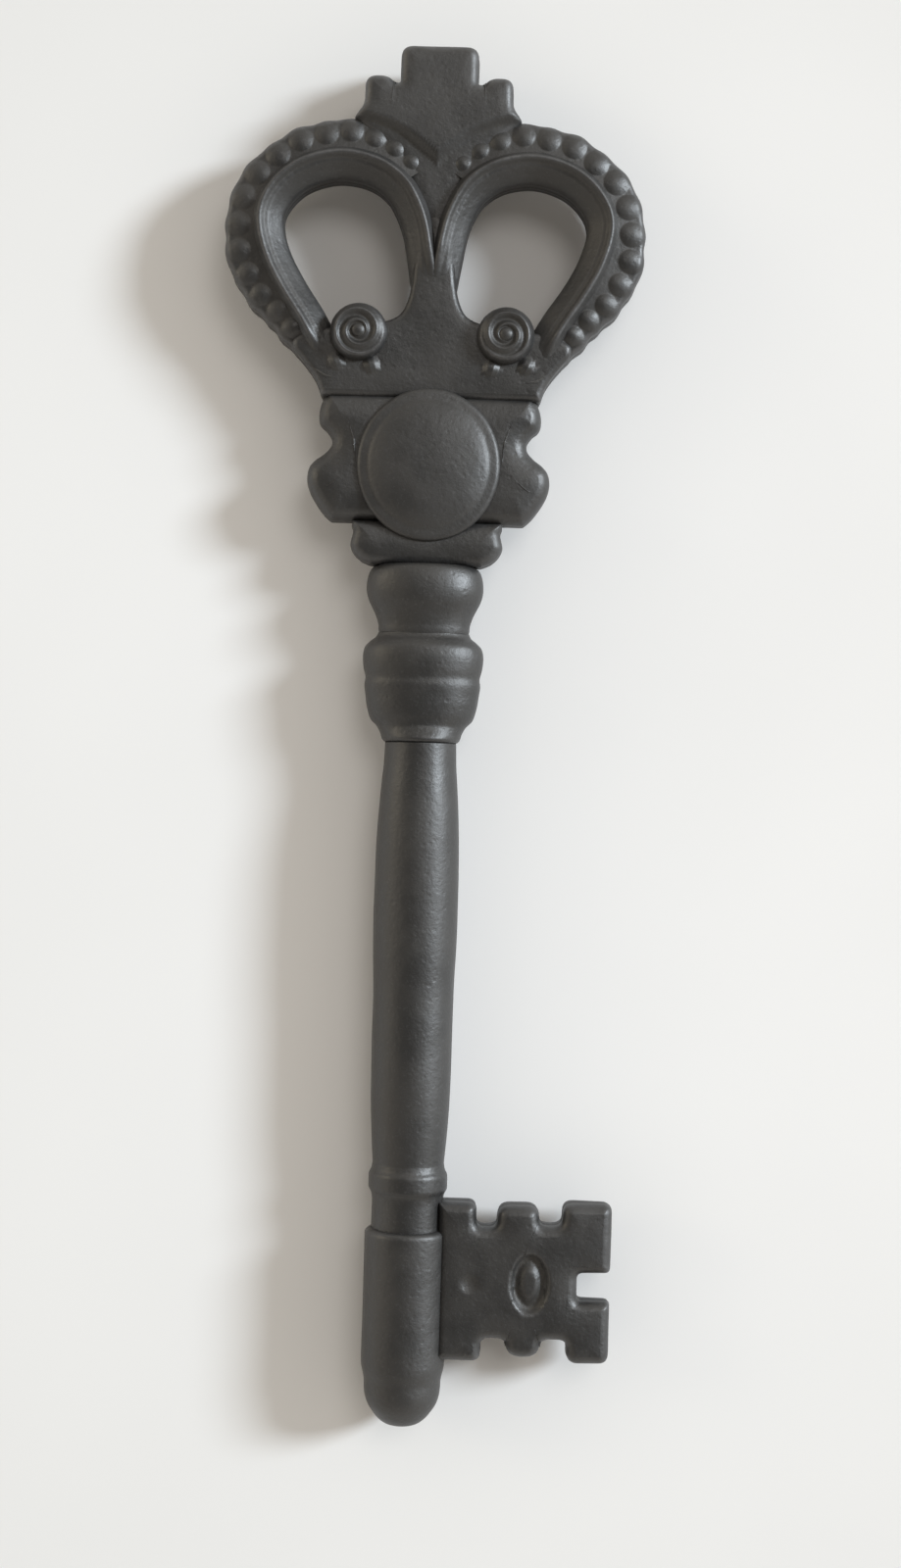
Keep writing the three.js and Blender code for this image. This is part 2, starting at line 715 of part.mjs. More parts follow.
function bitPlate() {
  const hollows = [];
  const bosses = [];
  [-1, 1].forEach((face) => {
    const oval = [bitOvalShare * bitReach, bitOvalAlong];
    hollows.push(ellipsoid(
      [bitOvalHalfWidth, bitOvalHalfLength, bitOvalDepth],
      [...oval, face * bitHalfDepth],
    ));
    hollows.push(ellipsoid(
      [bitDimpleRadius, bitDimpleRadius, bitDimpleDepth],
      [bitDimpleShare * bitReach, bitOvalAlong, face * bitHalfDepth],
    ));
    bosses.push(ellipsoid(
      [bitBossHalfWidth, bitBossHalfLength, bitBossHeight],
      [...oval, face * (bitHalfDepth - bitOvalDepth)],
    ));
  });
  const barrelRoom = turned(barrelProfile(fitClearance));
  const shankRoom = turned([[0, 0], ...shankProfile(fitClearance), [0, shankLength]]);
  const shankRoomGeometry = geometryOf(shankRoom);
  shankRoomGeometry.translate(0, barrelLength, 0);
  const body = cut(plate(bitOutline(), bitHalfDepth), [barrelRoom, solid(shankRoomGeometry), ...hollows]);
  return joined([body, bitTang(0), ...bosses]);
}

// Dark cast iron: lighter and smoother where hands have polished it, duller in the sunk parts
const handledIron = { lightness: 0.26, roughness: 0.5 };
const castIron = { lightness: 0.24, roughness: 0.55 };
const sunkIron = { lightness: 0.22, roughness: 0.6 };
const ironBlueTint = 1.03;
const ironMetalness = 0.6;

function iron({ lightness, roughness }) {
  const color = new THREE.Color();
  color.setRGB(lightness, lightness, lightness * ironBlueTint, THREE.SRGBColorSpace);
  return new THREE.MeshStandardMaterial({ color, roughness, metalness: ironMetalness });
}

function addPiece(group, name, body, material, x = 0, y = 0) {
  const mesh = new THREE.Mesh(geometryOf(body), material);
  mesh.name = name;
  mesh.position.set(x, y, 0);
  group.add(mesh);
  return mesh;
}

// Assembly
const key = new THREE.Group();
key.position.set(0, -overallLength / 2, restHalfDepth);
addPiece(key, 'barrel_end', barrelEnd(), iron(castIron));
addPiece(key, 'bit_plate', bitPlate(), iron(castIron));
addPiece(key, 'shank', shank(), iron(handledIron), 0, shankStart);
const lowerKnop = knop(lowerKnopShares, lowerKnopRadius, lowerKnopLength);
addPiece(key, 'lower_knop', lowerKnop, iron(castIron), 0, lowerKnopStart);
const upperKnop = knop(upperKnopShares, upperKnopRadius, upperKnopLength);
addPiece(key, 'upper_knop', upperKnop, iron(castIron), 0, upperKnopStart);
addPiece(key, 'collar_foot', collarFoot(), iron(sunkIron), 0, collarFootStart);

const collar = new THREE.Group();
collar.position.set(0, collarStart, 0);
key.add(collar);
addPiece(collar, 'collar_plate', collarPlate(), iron(sunkIron));
const front = addPiece(collar, 'front_medallion', medallion(domeShares), iron(handledIron), 0, medallionAt);
front.position.z = collarHalfDepth;
const back = addPiece(collar, 'back_medallion', medallion(flatBackShares), iron(sunkIron), 0, medallionAt);
back.position.z = -collarHalfDepth;
back.rotation.y = Math.PI;

const bow = new THREE.Group();
bow.position.set(0, bowStart, 0);
key.add(bow);
addPiece(bow, 'bow_base', bowBase(), iron(sunkIron));
addPiece(bow, 'bow_arm_right', bowArm(), iron(handledIron));
addPiece(bow, 'bow_arm_left', mirrored(bowArm()), iron(handledIron));
addPiece(bow, 'beaded_rim_right', beadedRim(), iron(castIron));
addPiece(bow, 'beaded_rim_left', mirrored(beadedRim()), iron(castIron));
addPiece(bow, 'scroll_right', scroll(), iron(castIron), scrollCentre.x, scrollCentre.y);
addPiece(bow, 'scroll_left', mirrored(scroll()), iron(castIron), -scrollCentre.x, scrollCentre.y);
addPiece(bow, 'crown', crown(), iron(handledIron));

const part = new THREE.Group();
part.add(key);

export default part;
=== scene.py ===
# %% [markdown]
# # A decorative skeleton key in black cast iron
# The real key is poured in one piece in a sand mould and painted satin black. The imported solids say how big
# each part is and where it lies. Inside their box, this scene gives each part its cast shape and finish.

import json
import math
import bmesh
import bpy
import numpy as np
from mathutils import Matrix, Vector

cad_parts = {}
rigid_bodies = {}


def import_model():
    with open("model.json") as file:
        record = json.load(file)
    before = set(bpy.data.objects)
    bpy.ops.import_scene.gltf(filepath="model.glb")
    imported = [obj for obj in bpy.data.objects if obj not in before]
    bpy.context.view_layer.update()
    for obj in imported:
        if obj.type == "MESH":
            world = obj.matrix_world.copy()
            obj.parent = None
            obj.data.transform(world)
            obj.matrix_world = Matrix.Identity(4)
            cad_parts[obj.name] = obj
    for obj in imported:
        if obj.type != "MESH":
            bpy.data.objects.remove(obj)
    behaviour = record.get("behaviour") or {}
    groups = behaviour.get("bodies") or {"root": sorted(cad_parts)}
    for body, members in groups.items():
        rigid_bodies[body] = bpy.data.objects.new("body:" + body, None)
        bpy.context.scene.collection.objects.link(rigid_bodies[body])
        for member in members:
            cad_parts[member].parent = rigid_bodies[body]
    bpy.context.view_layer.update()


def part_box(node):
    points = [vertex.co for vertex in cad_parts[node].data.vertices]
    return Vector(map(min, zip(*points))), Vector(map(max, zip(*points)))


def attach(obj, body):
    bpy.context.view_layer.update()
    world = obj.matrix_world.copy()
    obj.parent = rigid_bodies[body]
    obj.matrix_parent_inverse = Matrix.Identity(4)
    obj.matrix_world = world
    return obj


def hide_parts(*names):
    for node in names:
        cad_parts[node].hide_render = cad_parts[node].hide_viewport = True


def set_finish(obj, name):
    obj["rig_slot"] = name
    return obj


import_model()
barrel_low, barrel_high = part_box("barrel_end")
TIP_Y = barrel_low.y
MID_Z = (barrel_low.z + barrel_high.z) / 2

# %% [markdown]
# ## Curves
# The edges of the key are drawn with a few points that a smooth curve joins, as a pattern maker would draw
# them with a bent batten. A Bezier object could do this too, but arrays let every later step measure along
# the curve.

# %% Smooth curves
STEPS_PER_STRETCH = 24


def lengths(curve):
    """The length of a curve up to each of its points."""
    return np.concatenate([[0], np.cumsum(np.linalg.norm(np.diff(curve, axis=0), axis=1))])


def evenly(curve, count):
    """The same curve sampled at equal lengths."""
    along = lengths(curve)
    wanted = np.linspace(0, along[-1], count)
    return np.stack([np.interp(wanted, along, curve[:, i]) for i in range(curve.shape[1])], axis=1)


def lerp(a, b, start, end, t):
    """The mix of a and b in which t runs from start to end."""
    share = ((t - start) / (end - start))[..., None]
    return a * (1 - share) + b * share


def smooth(points, count):
    """A curve through the points, sampled at equal lengths. Each stretch is a Catmull-Rom cubic whose knots
    are spaced by the square root of the distance between points, so it neither loops nor overshoots."""
    p = np.asarray(points, float)
    p = np.vstack([2 * p[0] - p[1], p, 2 * p[-1] - p[-2]])
    knots = np.concatenate([[0], np.cumsum(np.linalg.norm(np.diff(p, axis=0), axis=1) ** 0.5)])
    k0, k1, k2, k3 = (knots[i:len(knots) - 3 + i, None] for i in range(4))
    p0, p1, p2, p3 = (p[i:len(p) - 3 + i, None] for i in range(4))
    t = k1 + np.linspace(0, 1, STEPS_PER_STRETCH, endpoint=False) * (k2 - k1)
    a1 = lerp(p0, p1, k0, k1, t)
    a2 = lerp(p1, p2, k1, k2, t)
    a3 = lerp(p2, p3, k2, k3, t)
    b1 = lerp(a1, a2, k0, k2, t)
    b2 = lerp(a2, a3, k1, k3, t)
    curve = np.vstack([lerp(b1, b2, k1, k2, t).reshape(-1, p.shape[1]), p[-2]])
    return evenly(curve, count)


trial = smooth([(0, 0), (1, 1), (2, 0)], count=50)
print("a trial curve through three points is", round(lengths(trial)[-1], 2), "mm long")

# %% [markdown]
# ## Rounded corners and soft steps
# Where the real outline has straight sides, it is given by its corners and by how round each of them is. A
# Bevel would round them too, but here every corner has a radius of its own. A soft step blends two heights
# as gently as sand and paint soften a step in iron.

# %% Rounded corners and soft steps
POINTS_PER_CORNER = 7
LEAST_LENGTH = 1e-12


def soft_step(t, width):
    """Rises from 0 at t = 0 to 1 at t = width as 3 s^2 - 2 s^3, level at both ends."""
    s = np.clip(t / width, 0, 1)
    return s * s * (3 - 2 * s)


def unit(vectors):
    """The vectors divided by their lengths. A vector of zeros stays as it is."""
    return vectors / np.maximum(np.linalg.norm(vectors, axis=-1, keepdims=True), LEAST_LENGTH)


def rounded(corners):
    """A line through corners given as x, y and radius. Each corner is cut back by its radius on both sides
    and bridged by a parabola with its control point in the corner. A radius of zero keeps the corner."""
    c = np.asarray(corners, float)
    out = [c[:1, :2]]
    for before, here, after in zip(c[:-2], c[1:-1], c[2:]):
        start = here[:2] + unit(before[:2] - here[:2]) * here[2]
        end = here[:2] + unit(after[:2] - here[:2]) * here[2]
        t = np.linspace(0, 1, POINTS_PER_CORNER if here[2] > 0 else 1)[:, None]
        out.append((1 - t) ** 2 * start + 2 * t * (1 - t) * here[:2] + t ** 2 * end)
    return np.vstack(out + [c[-1:, :2]])


trial = rounded([(0, 0, 0), (2, 0, 1), (2, 2, 0)])
print("a right angle with a rounded corner has", len(trial), "points")

# %% [markdown]
# ## What the mould leaves
# The two halves of a sand mould meet at the middle of the thickness and leave a thin raised seam, and the
# sand gives a little, so that no face is quite even. Both could be bumps in the material. As real height
# they also show in the outline and in the glints along it.

# %% Seam and unevenness
MM = 0.001
SEAM_HEIGHT = 0.12
SEAM_REACH = 0.35
SEAM_ROWS = np.array([1, 0.5, 0, -0.5, -1]) * SEAM_REACH
FROM_SEAM = SEAM_ROWS[2::-1]
RADIANS_PER_MM = np.array([(0.41, 0.23, 0.3), (-0.27, 0.52, 0), (0.66, 0.31, -0.5)])
WAVE_STARTS = np.array([0, 1.3, 0])


def seam_at(z):
    """How far the seam stands out at a height above the middle: half a cosine wave."""
    return SEAM_HEIGHT * 0.5 * (1 + np.cos(np.pi * np.minimum(np.abs(z) / SEAM_REACH, 1)))


def wobble(points):
    """Between 0 and 1, the slow unevenness of a sand casting: the mean of three slanted sine waves, 7 to 11
    millimetres long."""
    return 0.5 + 0.5 * np.sin(points @ RADIANS_PER_MM.T + WAVE_STARTS).mean(axis=-1)


print("the seam is", seam_at(0), "mm high and", 2 * SEAM_REACH, "mm wide")

# %% [markdown]
# ## Normals and raised places
# Light needs the slope of the skin at each point. Wear needs to know whether a point stands proud, where
# hands rub it, or lies in a hollow, where dust stays. Blender has normals of its own, but long thin faces
# weigh too much in them, so both are worked out here from the points and edges.

# %% Normals and raised places
LEAST_SPREAD = 0.2
SOFTENING_ROUNDS = 6
OWN_SHARE = 0.4
RAISED_GAIN = 2.2


def read(source, name, width, kind=float):
    """One attribute of all elements of a mesh, as an array with the given number of columns."""
    values = np.zeros(len(source) * width, kind)
    source.foreach_get(name, values)
    return values.reshape(-1, width) if width > 1 else values


def even_normals(mesh):
    """The normal of each point, as the sum of the normals of its faces times their areas. Long thin faces,
    which meet at the ends of a ridge line, count for little and leave no crease in a level face."""
    corner = read(mesh.loops, "vertex_index", 1, int)
    weighted = read(mesh.polygons, "normal", 3) * read(mesh.polygons, "area", 1)[:, None]
    weighted = np.repeat(weighted, read(mesh.polygons, "loop_total", 1, int), axis=0)
    count = len(mesh.vertices)
    return unit(np.stack([np.bincount(corner, weighted[:, i], count) for i in range(3)], axis=1))


def mark_raised(mesh, normals):
    """Stores on each point how proud it stands of its neighbours, from -1 in a hollow to 1 on an edge. It is
    the sum of the drops to the neighbours along the normal, over the sum of the squares of the distances to
    them. It is then softened by mixing each value with the mean of its neighbours a few times."""
    count = len(mesh.vertices)
    co = read(mesh.vertices, "co", 3) / MM
    a, b = read(mesh.edges, "vertices", 2, int).T
    ends = np.concatenate([a, b])
    starts = np.concatenate([b, a])
    degree = np.maximum(np.bincount(ends, minlength=count), 1)
    gap = co[starts] - co[ends]
    drop = -np.einsum("ij,ij->i", gap, normals[ends])
    square = np.einsum("ij,ij->i", gap, gap)
    bend = np.bincount(ends, drop, count) / np.maximum(np.bincount(ends, square, count), LEAST_SPREAD)
    for _ in range(SOFTENING_ROUNDS):
        bend = OWN_SHARE * bend + (1 - OWN_SHARE) * np.bincount(ends, bend[starts], count) / degree
    layer = mesh.attributes.new("raised", "FLOAT", "POINT")
    layer.data.foreach_set("value", np.clip(bend * RAISED_GAIN, -1, 1).astype(np.float32))


print("raised places are softened", SOFTENING_ROUNDS, "times")

# %% [markdown]
# ## From rings to a closed skin
# A barrel, a moulded bar and even a flat lobed plate are all stacks of closed rings: round the axis, round
# the section, or round the outline from the middle of the front to the middle of the back. One helper turns
# a stack of rings into a closed mesh, so each piece only has to say where its rings are. Each kind of ring
# has points for the seam.

# %% Rings to a piece
WELD = 0.0015 * MM
UNEVENNESS = 0.07


def ring_faces(rows, columns, capped):
    """Row i and row i + 1 are joined by one quad per column, and the last column joins the first. A capped
    stack gets one face over each end."""
    index = np.arange(rows * columns).reshape(rows, columns)
    beside = np.roll(index, -1, axis=1)
    faces = np.stack([index[:-1], beside[:-1], beside[1:], index[1:]], axis=-1).reshape(-1, 4).tolist()
    if capped:
        faces += [index[0][::-1].tolist(), index[-1].tolist()]
    return faces


def piece(name, node, slot, rings, capped=False, uneven=UNEVENNESS):
    """A named piece that stands for a CAD node. Its points are in millimetres from the tip and the mid-plane,
    and the unevenness of the casting pulls them inwards along their normals by up to the given amount."""
    rows, columns, _ = rings.shape
    mesh = bpy.data.meshes.new(name)
    points = rings.reshape(-1, 3) * MM + [0, TIP_Y, MID_Z]
    mesh.from_pydata(points.tolist(), [], ring_faces(rows, columns, capped))
    shape = bmesh.new()
    shape.from_mesh(mesh)
    bmesh.ops.remove_doubles(shape, verts=shape.verts, dist=WELD)
    bmesh.ops.recalc_face_normals(shape, faces=shape.faces)
    shape.to_mesh(mesh)
    shape.free()
    mesh.shade_smooth()
    co = read(mesh.vertices, "co", 3)
    moved = co - even_normals(mesh) * wobble(co / MM)[:, None] * uneven * MM
    mesh.vertices.foreach_set("co", moved.reshape(-1))
    mesh.update()
    normals = even_normals(mesh)
    mark_raised(mesh, normals)
    mesh.normals_split_custom_set_from_vertices(normals.tolist())
    made = bpy.data.objects.new(name, mesh)
    bpy.context.scene.collection.objects.link(made)
    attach(made, "root")
    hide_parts(node)
    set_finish(made, slot)
    faces_on_edge = np.bincount(read(mesh.loops, "edge_index", 1, int), minlength=len(mesh.edges))
    print(f"{name}: {len(mesh.polygons)} faces, {(faces_on_edge != 2).sum()} edges without two faces")


print("a stack of 3 rings with 4 points has", len(ring_faces(3, 4, capped=True)), "faces with its caps")

# %% [markdown]
# ## Barrel and shank
# Barrel, shank and knops look as if they came off a lathe: a profile carried round the axis of the key. The
# Spin tool would do it, but one array formula gives all the rings at once and can squash them in the same
# step.

# %% Barrel and shank
AROUND = 112
SEAM_CROWDING = 0.3


def turned(profile, squash=1.0):
    """Rings round the axis: x is radius times cosine, height is radius times sine times squash, which may
    differ from ring to ring, and y is the place along the key. The profile's rows hold radius and place, and
    start and end on the axis. The columns lie closer by a sine where the seam is, and the seam fades out over
    the last millimetre to the axis."""
    even = np.linspace(0, 2 * np.pi, AROUND, endpoint=False)
    angle = even - SEAM_CROWDING * np.sin(2 * even)
    radius = profile[:, :1]
    z = radius * np.sin(angle) * squash
    x = radius * np.cos(angle) + np.sign(np.cos(angle)) * seam_at(z) * np.minimum(radius, 1)
    y = np.broadcast_to(profile[:, 1:], x.shape)
    return np.stack([x, y, z], axis=-1)


def on_axis(side, start, end):
    """A profile, or the right half of an outline, with a point on the axis of the key added at both ends."""
    return np.vstack([[[0, start]], side, [[0, end]]])


barrel_tip = smooth([
    (0, 0.02), (3.2, 0.6), (4.75, 1.7), (5.72, 2.9), (6.42, 4), (6.9, 5.2), (7.2, 6.7), (7.3, 8.8),
], count=34)
barrel_side = rounded([
    (7.3, 8.8, 0), (7.4, 9.6, 0.6), (7.92, 11.4, 1.4), (7.9, 24, 2), (7.94, 36.2, 0.8), (7.94, 37.5, 0.5),
    (7.1, 38.1, 0.3), (0, 38.15, 0),
])
barrel_profile = np.vstack([barrel_tip, evenly(barrel_side[1:-1], count=60), barrel_side[-1:]])
piece("barrel", "barrel_end", "black_iron", turned(barrel_profile))

shank_foot = rounded([
    (0, 37.7, 0), (6.72, 37.7, 0.1), (6.7, 43.6, 0.8), (6.95, 44.9, 0.5), (7.45, 45.5, 0.5),
    (7.45, 48.6, 0.5), (6.95, 49.3, 0.5), (6.75, 50.6, 0),
])
shank_swell = smooth([
    (6.75, 50.6), (7.1, 55), (7.5, 63), (7.6, 74), (7.65, 84), (7.93, 92), (7.93, 107), (7.8, 113.6),
    (7.2, 123), (6.9, 126.5), (6.7, 131.4),
], count=150)
shank_side = np.vstack([evenly(shank_foot[1:], count=60), shank_swell[1:]])
piece("shank_bar", "shank", "black_iron", turned(on_axis(shank_side, 37.7, 131.6)))

# %% [markdown]
# ## Knops
# Two turned swellings part the shank from the collar. They are squashed from front to back, because the key
# lies flat, and the lower one gets round again where it meets the shank.

# %% Knops
KNOP_HALF_DEPTH = 7.88
LOWER_KNOP_RADIUS = 11.5
UPPER_KNOP_RADIUS = 11.1
LOWER_KNOP_START = 131.2
ROUND_FOOT_LENGTH = 4.5

lower_side = smooth([
    (6.9, 131.2), (7.35, 131.7), (7.75, 132.9), (8.4, 134.1), (9.7, 135.5), (10.45, 137.8), (10.8, 140.1),
    (11.05, 142.2), (10.86, 143.4), (11.3, 145.4), (11.48, 147.8), (11.1, 149.4), (10.1, 150.5), (9, 151.4),
    (8.6, 152.2),
], count=90)
lower_profile = on_axis(lower_side, LOWER_KNOP_START, 152.4)
lower_squash = KNOP_HALF_DEPTH / LOWER_KNOP_RADIUS
near_shank = 1 - soft_step(lower_profile[:, 1:] - LOWER_KNOP_START, ROUND_FOOT_LENGTH)
lower_rings = turned(lower_profile, lower_squash + (1 - lower_squash) * near_shank)
piece("lower_turning", "lower_knop", "black_iron", lower_rings)

upper_side = smooth([
    (8.4, 151.7), (8.62, 152.6), (8.7, 153.6), (9.2, 155.3), (9.9, 156.8), (10.6, 158.2), (11.08, 160),
    (11.05, 162), (10.65, 163.6), (10, 164.6), (9, 165.1),
], count=60)
upper_rings = turned(on_axis(upper_side, 151.6, 165.3), KNOP_HALF_DEPTH / UPPER_KNOP_RADIUS)
piece("upper_turning", "upper_knop", "black_iron", upper_rings)

# %% [markdown]
# ## Flat lobed plates
# Collar, foot, base block, crown and bit are flat plates with soft edges. A filled outline with a Bevel would
# do, but rings that shrink from the outline to a ridge line inside leave points everywhere. So the height can
# be any function of place: a rounded edge, a soft swell, and hollows and beads.

# %% Plates
EDGE_ROWS = 7
FACE_ROWS = 18
FACE_CROWDING = 1.2
LEAST_LEAN = 0.45
SIDE_SHARES = [0.7, 0.4]


def inward(outline):
    """The unit normal of a closed anticlockwise outline at each point, turned to the inside."""
    along = unit(np.roll(outline, -1, axis=0) - np.roll(outline, 1, axis=0))
    return np.stack([-along[:, 1], along[:, 0]], axis=1)


def from_edge(points, outline):
    """The distance from each point of a ring to the nearest place on the outline's straight pieces."""
    span = np.roll(outline, -1, axis=0) - outline
    offset = points[:, None] - outline
    share = np.clip((offset * span).sum(axis=2) / (span ** 2).sum(axis=1), 0, 1)
    return np.linalg.norm(offset - share[..., None] * span, axis=2).min(axis=1)


def plate(outline, partners, half_depth, edge, rise, reach, relief=None, face_rows=FACE_ROWS):
    """Rings of a flat plate, from the middle of its front to the middle of its back. Each point of the
    outline moves straight to its partner, the matching point of the ridge line. The height depends on the
    distance from the edge: a quarter circle as wide as edge, and on it a swell of rise times
    1 - (1 - distance / reach)^2. Relief adds a height from x and y. The upright edge has the seam."""
    turn = np.linspace(0, np.pi / 2, EDGE_ROWS)
    inset = edge * (1 - np.cos(turn))
    toward = unit(partners - outline)
    lean = np.clip(np.einsum("ij,ij->i", toward, inward(outline)), LEAST_LEAN, 1)
    over_edge = outline + inset[:, None, None] * (toward / lean[:, None])
    share = (np.linspace(0, 1, face_rows) ** FACE_CROWDING)[1:, None, None]
    flat = np.concatenate([over_edge, over_edge[-1] * (1 - share) + partners * share])
    distance = np.stack([from_edge(ring, outline) for ring in flat])
    distance[0] = 0
    rounding = edge * np.sqrt(1 - (1 - np.minimum(distance / edge, 1)) ** 2)
    swelling = rise * (1 - (1 - np.minimum(distance / reach, 1)) ** 2)
    front = half_depth - rise - edge + rounding + swelling
    if relief:
        front = front + relief(flat[..., 0], flat[..., 1])
    top = np.concatenate([flat, front[..., None]], axis=-1)
    high = np.outer(SIDE_SHARES, front[0])
    level = np.vstack([high, np.outer(SEAM_ROWS, np.ones(len(outline))), -high[::-1]])
    side = np.concatenate([outline - seam_at(level)[..., None] * inward(outline), level[..., None]], axis=-1)
    return np.concatenate([top[::-1], side, top * [1, 1, -1]])


trial = plate(
    np.array([(2, 0), (0, 2), (-2, 0), (0, -2)]), np.zeros((4, 2)), half_depth=1, edge=0.2, rise=0, reach=1)
print("a trial plate has", len(trial), "rings and is", np.ptp(trial[..., 2]), "mm thick")

# %% [markdown]
# ## Outlines and ridge lines
# Every plate but the bit is the same on both sides of the key, so only its right-hand edge is drawn. The
# rings shrink to a ridge line, as the hip of a roof does. Its corners are whole millimetres and the rings
# from both sides of it move along it in equal steps, so that they meet point to point and close the skin.

# %% Outlines and ridge lines
HAIR = 1e-6


def both_sides(right, count):
    """A closed anticlockwise outline, sampled evenly, from its right half drawn from bottom to top."""
    left = right[::-1] * [-1, 1]
    whole = np.vstack([right, left[left[:, 0] < -HAIR]])
    return evenly(np.vstack([whole, whole[:1]]), count + 1)[:-1]


def ridge(outline, edge_x, ridge_x, place):
    """Partners on a straight ridge line across the key at one place along it. Their x follows from the
    outline's x by a table and is rounded to whole millimetres."""
    x = np.sign(outline[:, 0]) * np.round(np.interp(np.abs(outline[:, 0]), edge_x, ridge_x))
    return np.stack([x, np.full(len(x), place)], axis=1)


def branched(outline, walk):
    """Partners on a ridge line with branches. Each row of the walk holds a place on the right-hand edge and
    the corner of the ridge line that belongs to it. Between two rows the partner moves along the line in
    whole steps of one millimetre. The left half is the mirror image of the right."""
    count = len(outline)
    half = count // 2 + 1
    edge = np.array(walk, float)[:, :2]
    corner = np.array(walk, float)[:, 2:]
    at = np.argmin(np.linalg.norm(outline[None, :half] - edge[:, None], axis=2), axis=1)
    number = np.arange(half)
    row = np.clip(np.searchsorted(at, number, side="right") - 1, 0, len(walk) - 2)
    stretch = (corner[1:] - corner[:-1])[row]
    steps = np.maximum(np.abs(stretch).max(axis=1), 1)
    share = np.round((number - at[row]) / (at[row + 1] - at[row]) * steps) / steps
    right = corner[row] + stretch * share[:, None]
    mirror = right[(count - np.arange(half, count)) % count] * [-1, 1]
    return np.vstack([right, mirror])


trial = both_sides(np.array([(0, 0), (3, 0), (3, 4), (0, 4)]), count=20)
print("a trial outline runs from x", trial[:, 0].min(), "to", trial[:, 0].max())

# %% [markdown]
# ## Collar and foot
# On the real key the collar is a lobed plate with a broad soft edge that catches the light, and a smaller
# one lies under it. Both are drawn in millimetres from the tip. A Subdivision Surface would round them more
# than the casting is.

# %% Collar and foot
foot_right = on_axis(smooth([
    (10.6, 164.9), (12.4, 165.7), (13.8, 167), (14.5, 168.7), (14.2, 170.3), (14, 171.3), (14.3, 172.2),
    (14.3, 173.3),
], count=40), 164.8, 173.3)
foot_outline = both_sides(foot_right, count=260)
foot_partners = ridge(foot_outline, edge_x=[0, 11, 14.6], ridge_x=[0, 9, 10], place=169)
piece("foot_plate", "collar_foot", "black_iron", plate(
    foot_outline, foot_partners, half_depth=4.78, edge=1.6, rise=0.8, reach=4.5))

collar_right = on_axis(smooth([
    (18.4, 173.05), (19.6, 174.1), (21.4, 176.5), (22.7, 178.9), (23.2, 181.2), (22.8, 183.3), (21.6, 184.7),
    (20.1, 185.8), (18.8, 187.3), (18.6, 188.6), (19.6, 190.2), (20.9, 191.4), (21.25, 193.3), (20.8, 195.6),
    (19.6, 197.7),
], count=110), 173, 198.1)
COLLAR_WALK = [
    (0, 173, 0, 184), (13.5, 173, 13, 184), (17.6, 173, 14, 184), (22.6, 178.6, 18, 180),
    (23.1, 182.2, 18, 180), (19.3, 186.7, 14, 184), (18.6, 187.7, 14, 186), (18.7, 188.9, 14, 188),
    (20.9, 191.4, 17, 191), (20.8, 195.6, 17, 191), (18, 197.8, 14, 188), (14.5, 197.8, 14, 184),
    (13.5, 197.8, 13, 184), (0, 198.1, 0, 184),
]
collar_outline = both_sides(collar_right, count=420)
piece("collar_lobes", "collar_plate", "black_iron", plate(
    collar_outline, branched(collar_outline, COLLAR_WALK), half_depth=4.97, edge=2.1, rise=1.4, reach=6))

# %% [markdown]
# ## Medallions
# A domed oval stands in the middle of the collar. A squashed sphere would do for the dome, but not for the
# raised rim round it, so each is a stack of ovals that shrink toward the top. The back one ends in a flat
# without unevenness, because the key lies on it.

# %% Medallions
MEDALLION_AT = 183.9
MEDALLION_HALF_WIDTH = 13.68
MEDALLION_HALF_LENGTH = 14.58
MEDALLION_COLUMNS = 160
MEDALLION_ROOT = [(0, 4.2), (0.99, 4.2)]
MEDALLION_RIM = [(1, 4.8), (0.985, 5.35), (0.94, 5.75), (0.9, 5.85)]


def medallion(profile, side):
    """Rings of an oval: x and y are the profile's share of the half width times cosine and of the half length
    times sine, and the height is the profile's, on the front for side 1 and on the back for side -1."""
    angle = np.linspace(0, 2 * np.pi, MEDALLION_COLUMNS, endpoint=False)
    x = profile[:, :1] * MEDALLION_HALF_WIDTH * np.cos(angle)
    y = profile[:, :1] * MEDALLION_HALF_LENGTH * np.sin(angle) + MEDALLION_AT
    z = np.broadcast_to(side * profile[:, 1:], x.shape)
    return np.stack([x, y, z], axis=-1)


front_profile = np.vstack([MEDALLION_ROOT, smooth(MEDALLION_RIM + [
    (0.86, 5.95), (0.78, 6.5), (0.62, 7.2), (0.4, 7.7), (0.2, 7.93), (0, 7.99),
], count=50)])
back_profile = np.vstack([MEDALLION_ROOT, smooth(MEDALLION_RIM + [
    (0.86, 5.98), (0.78, 6.9), (0.7, 7.6), (0.63, 7.97),
], count=40), [(0.58, 8), (0, 8)]])
piece("front_dome", "front_medallion", "worn_iron", medallion(front_profile, side=1))
piece("back_dome", "back_medallion", "black_iron", medallion(back_profile, side=-1), uneven=0)

# %% [markdown]
# ## The bow: base block
# The bow grows out of a block that carries the two scrolls and the web between the eyes. Four small beads sit
# below the scrolls. They could be spheres sunk into the block, but as part of its height they stay one
# casting with it.

# %% Base block
BASE_BEADS = np.array([(18.1, 203.1), (11.4, 202.6), (-18.1, 203.1), (-11.4, 202.6)])
BASE_BEAD_RADIUS = 1.7
BASE_BEAD_PROUD = 0.8


def domes(x, y, centres, radii, proud):
    """Height of round beads: proud times 1 - (distance / radius)^2, and nothing outside."""
    gap = np.hypot(x[..., None] - centres[:, 0], y[..., None] - centres[:, 1]) / radii
    return (proud * np.clip(1 - gap ** 2, 0, 1)).max(axis=-1)


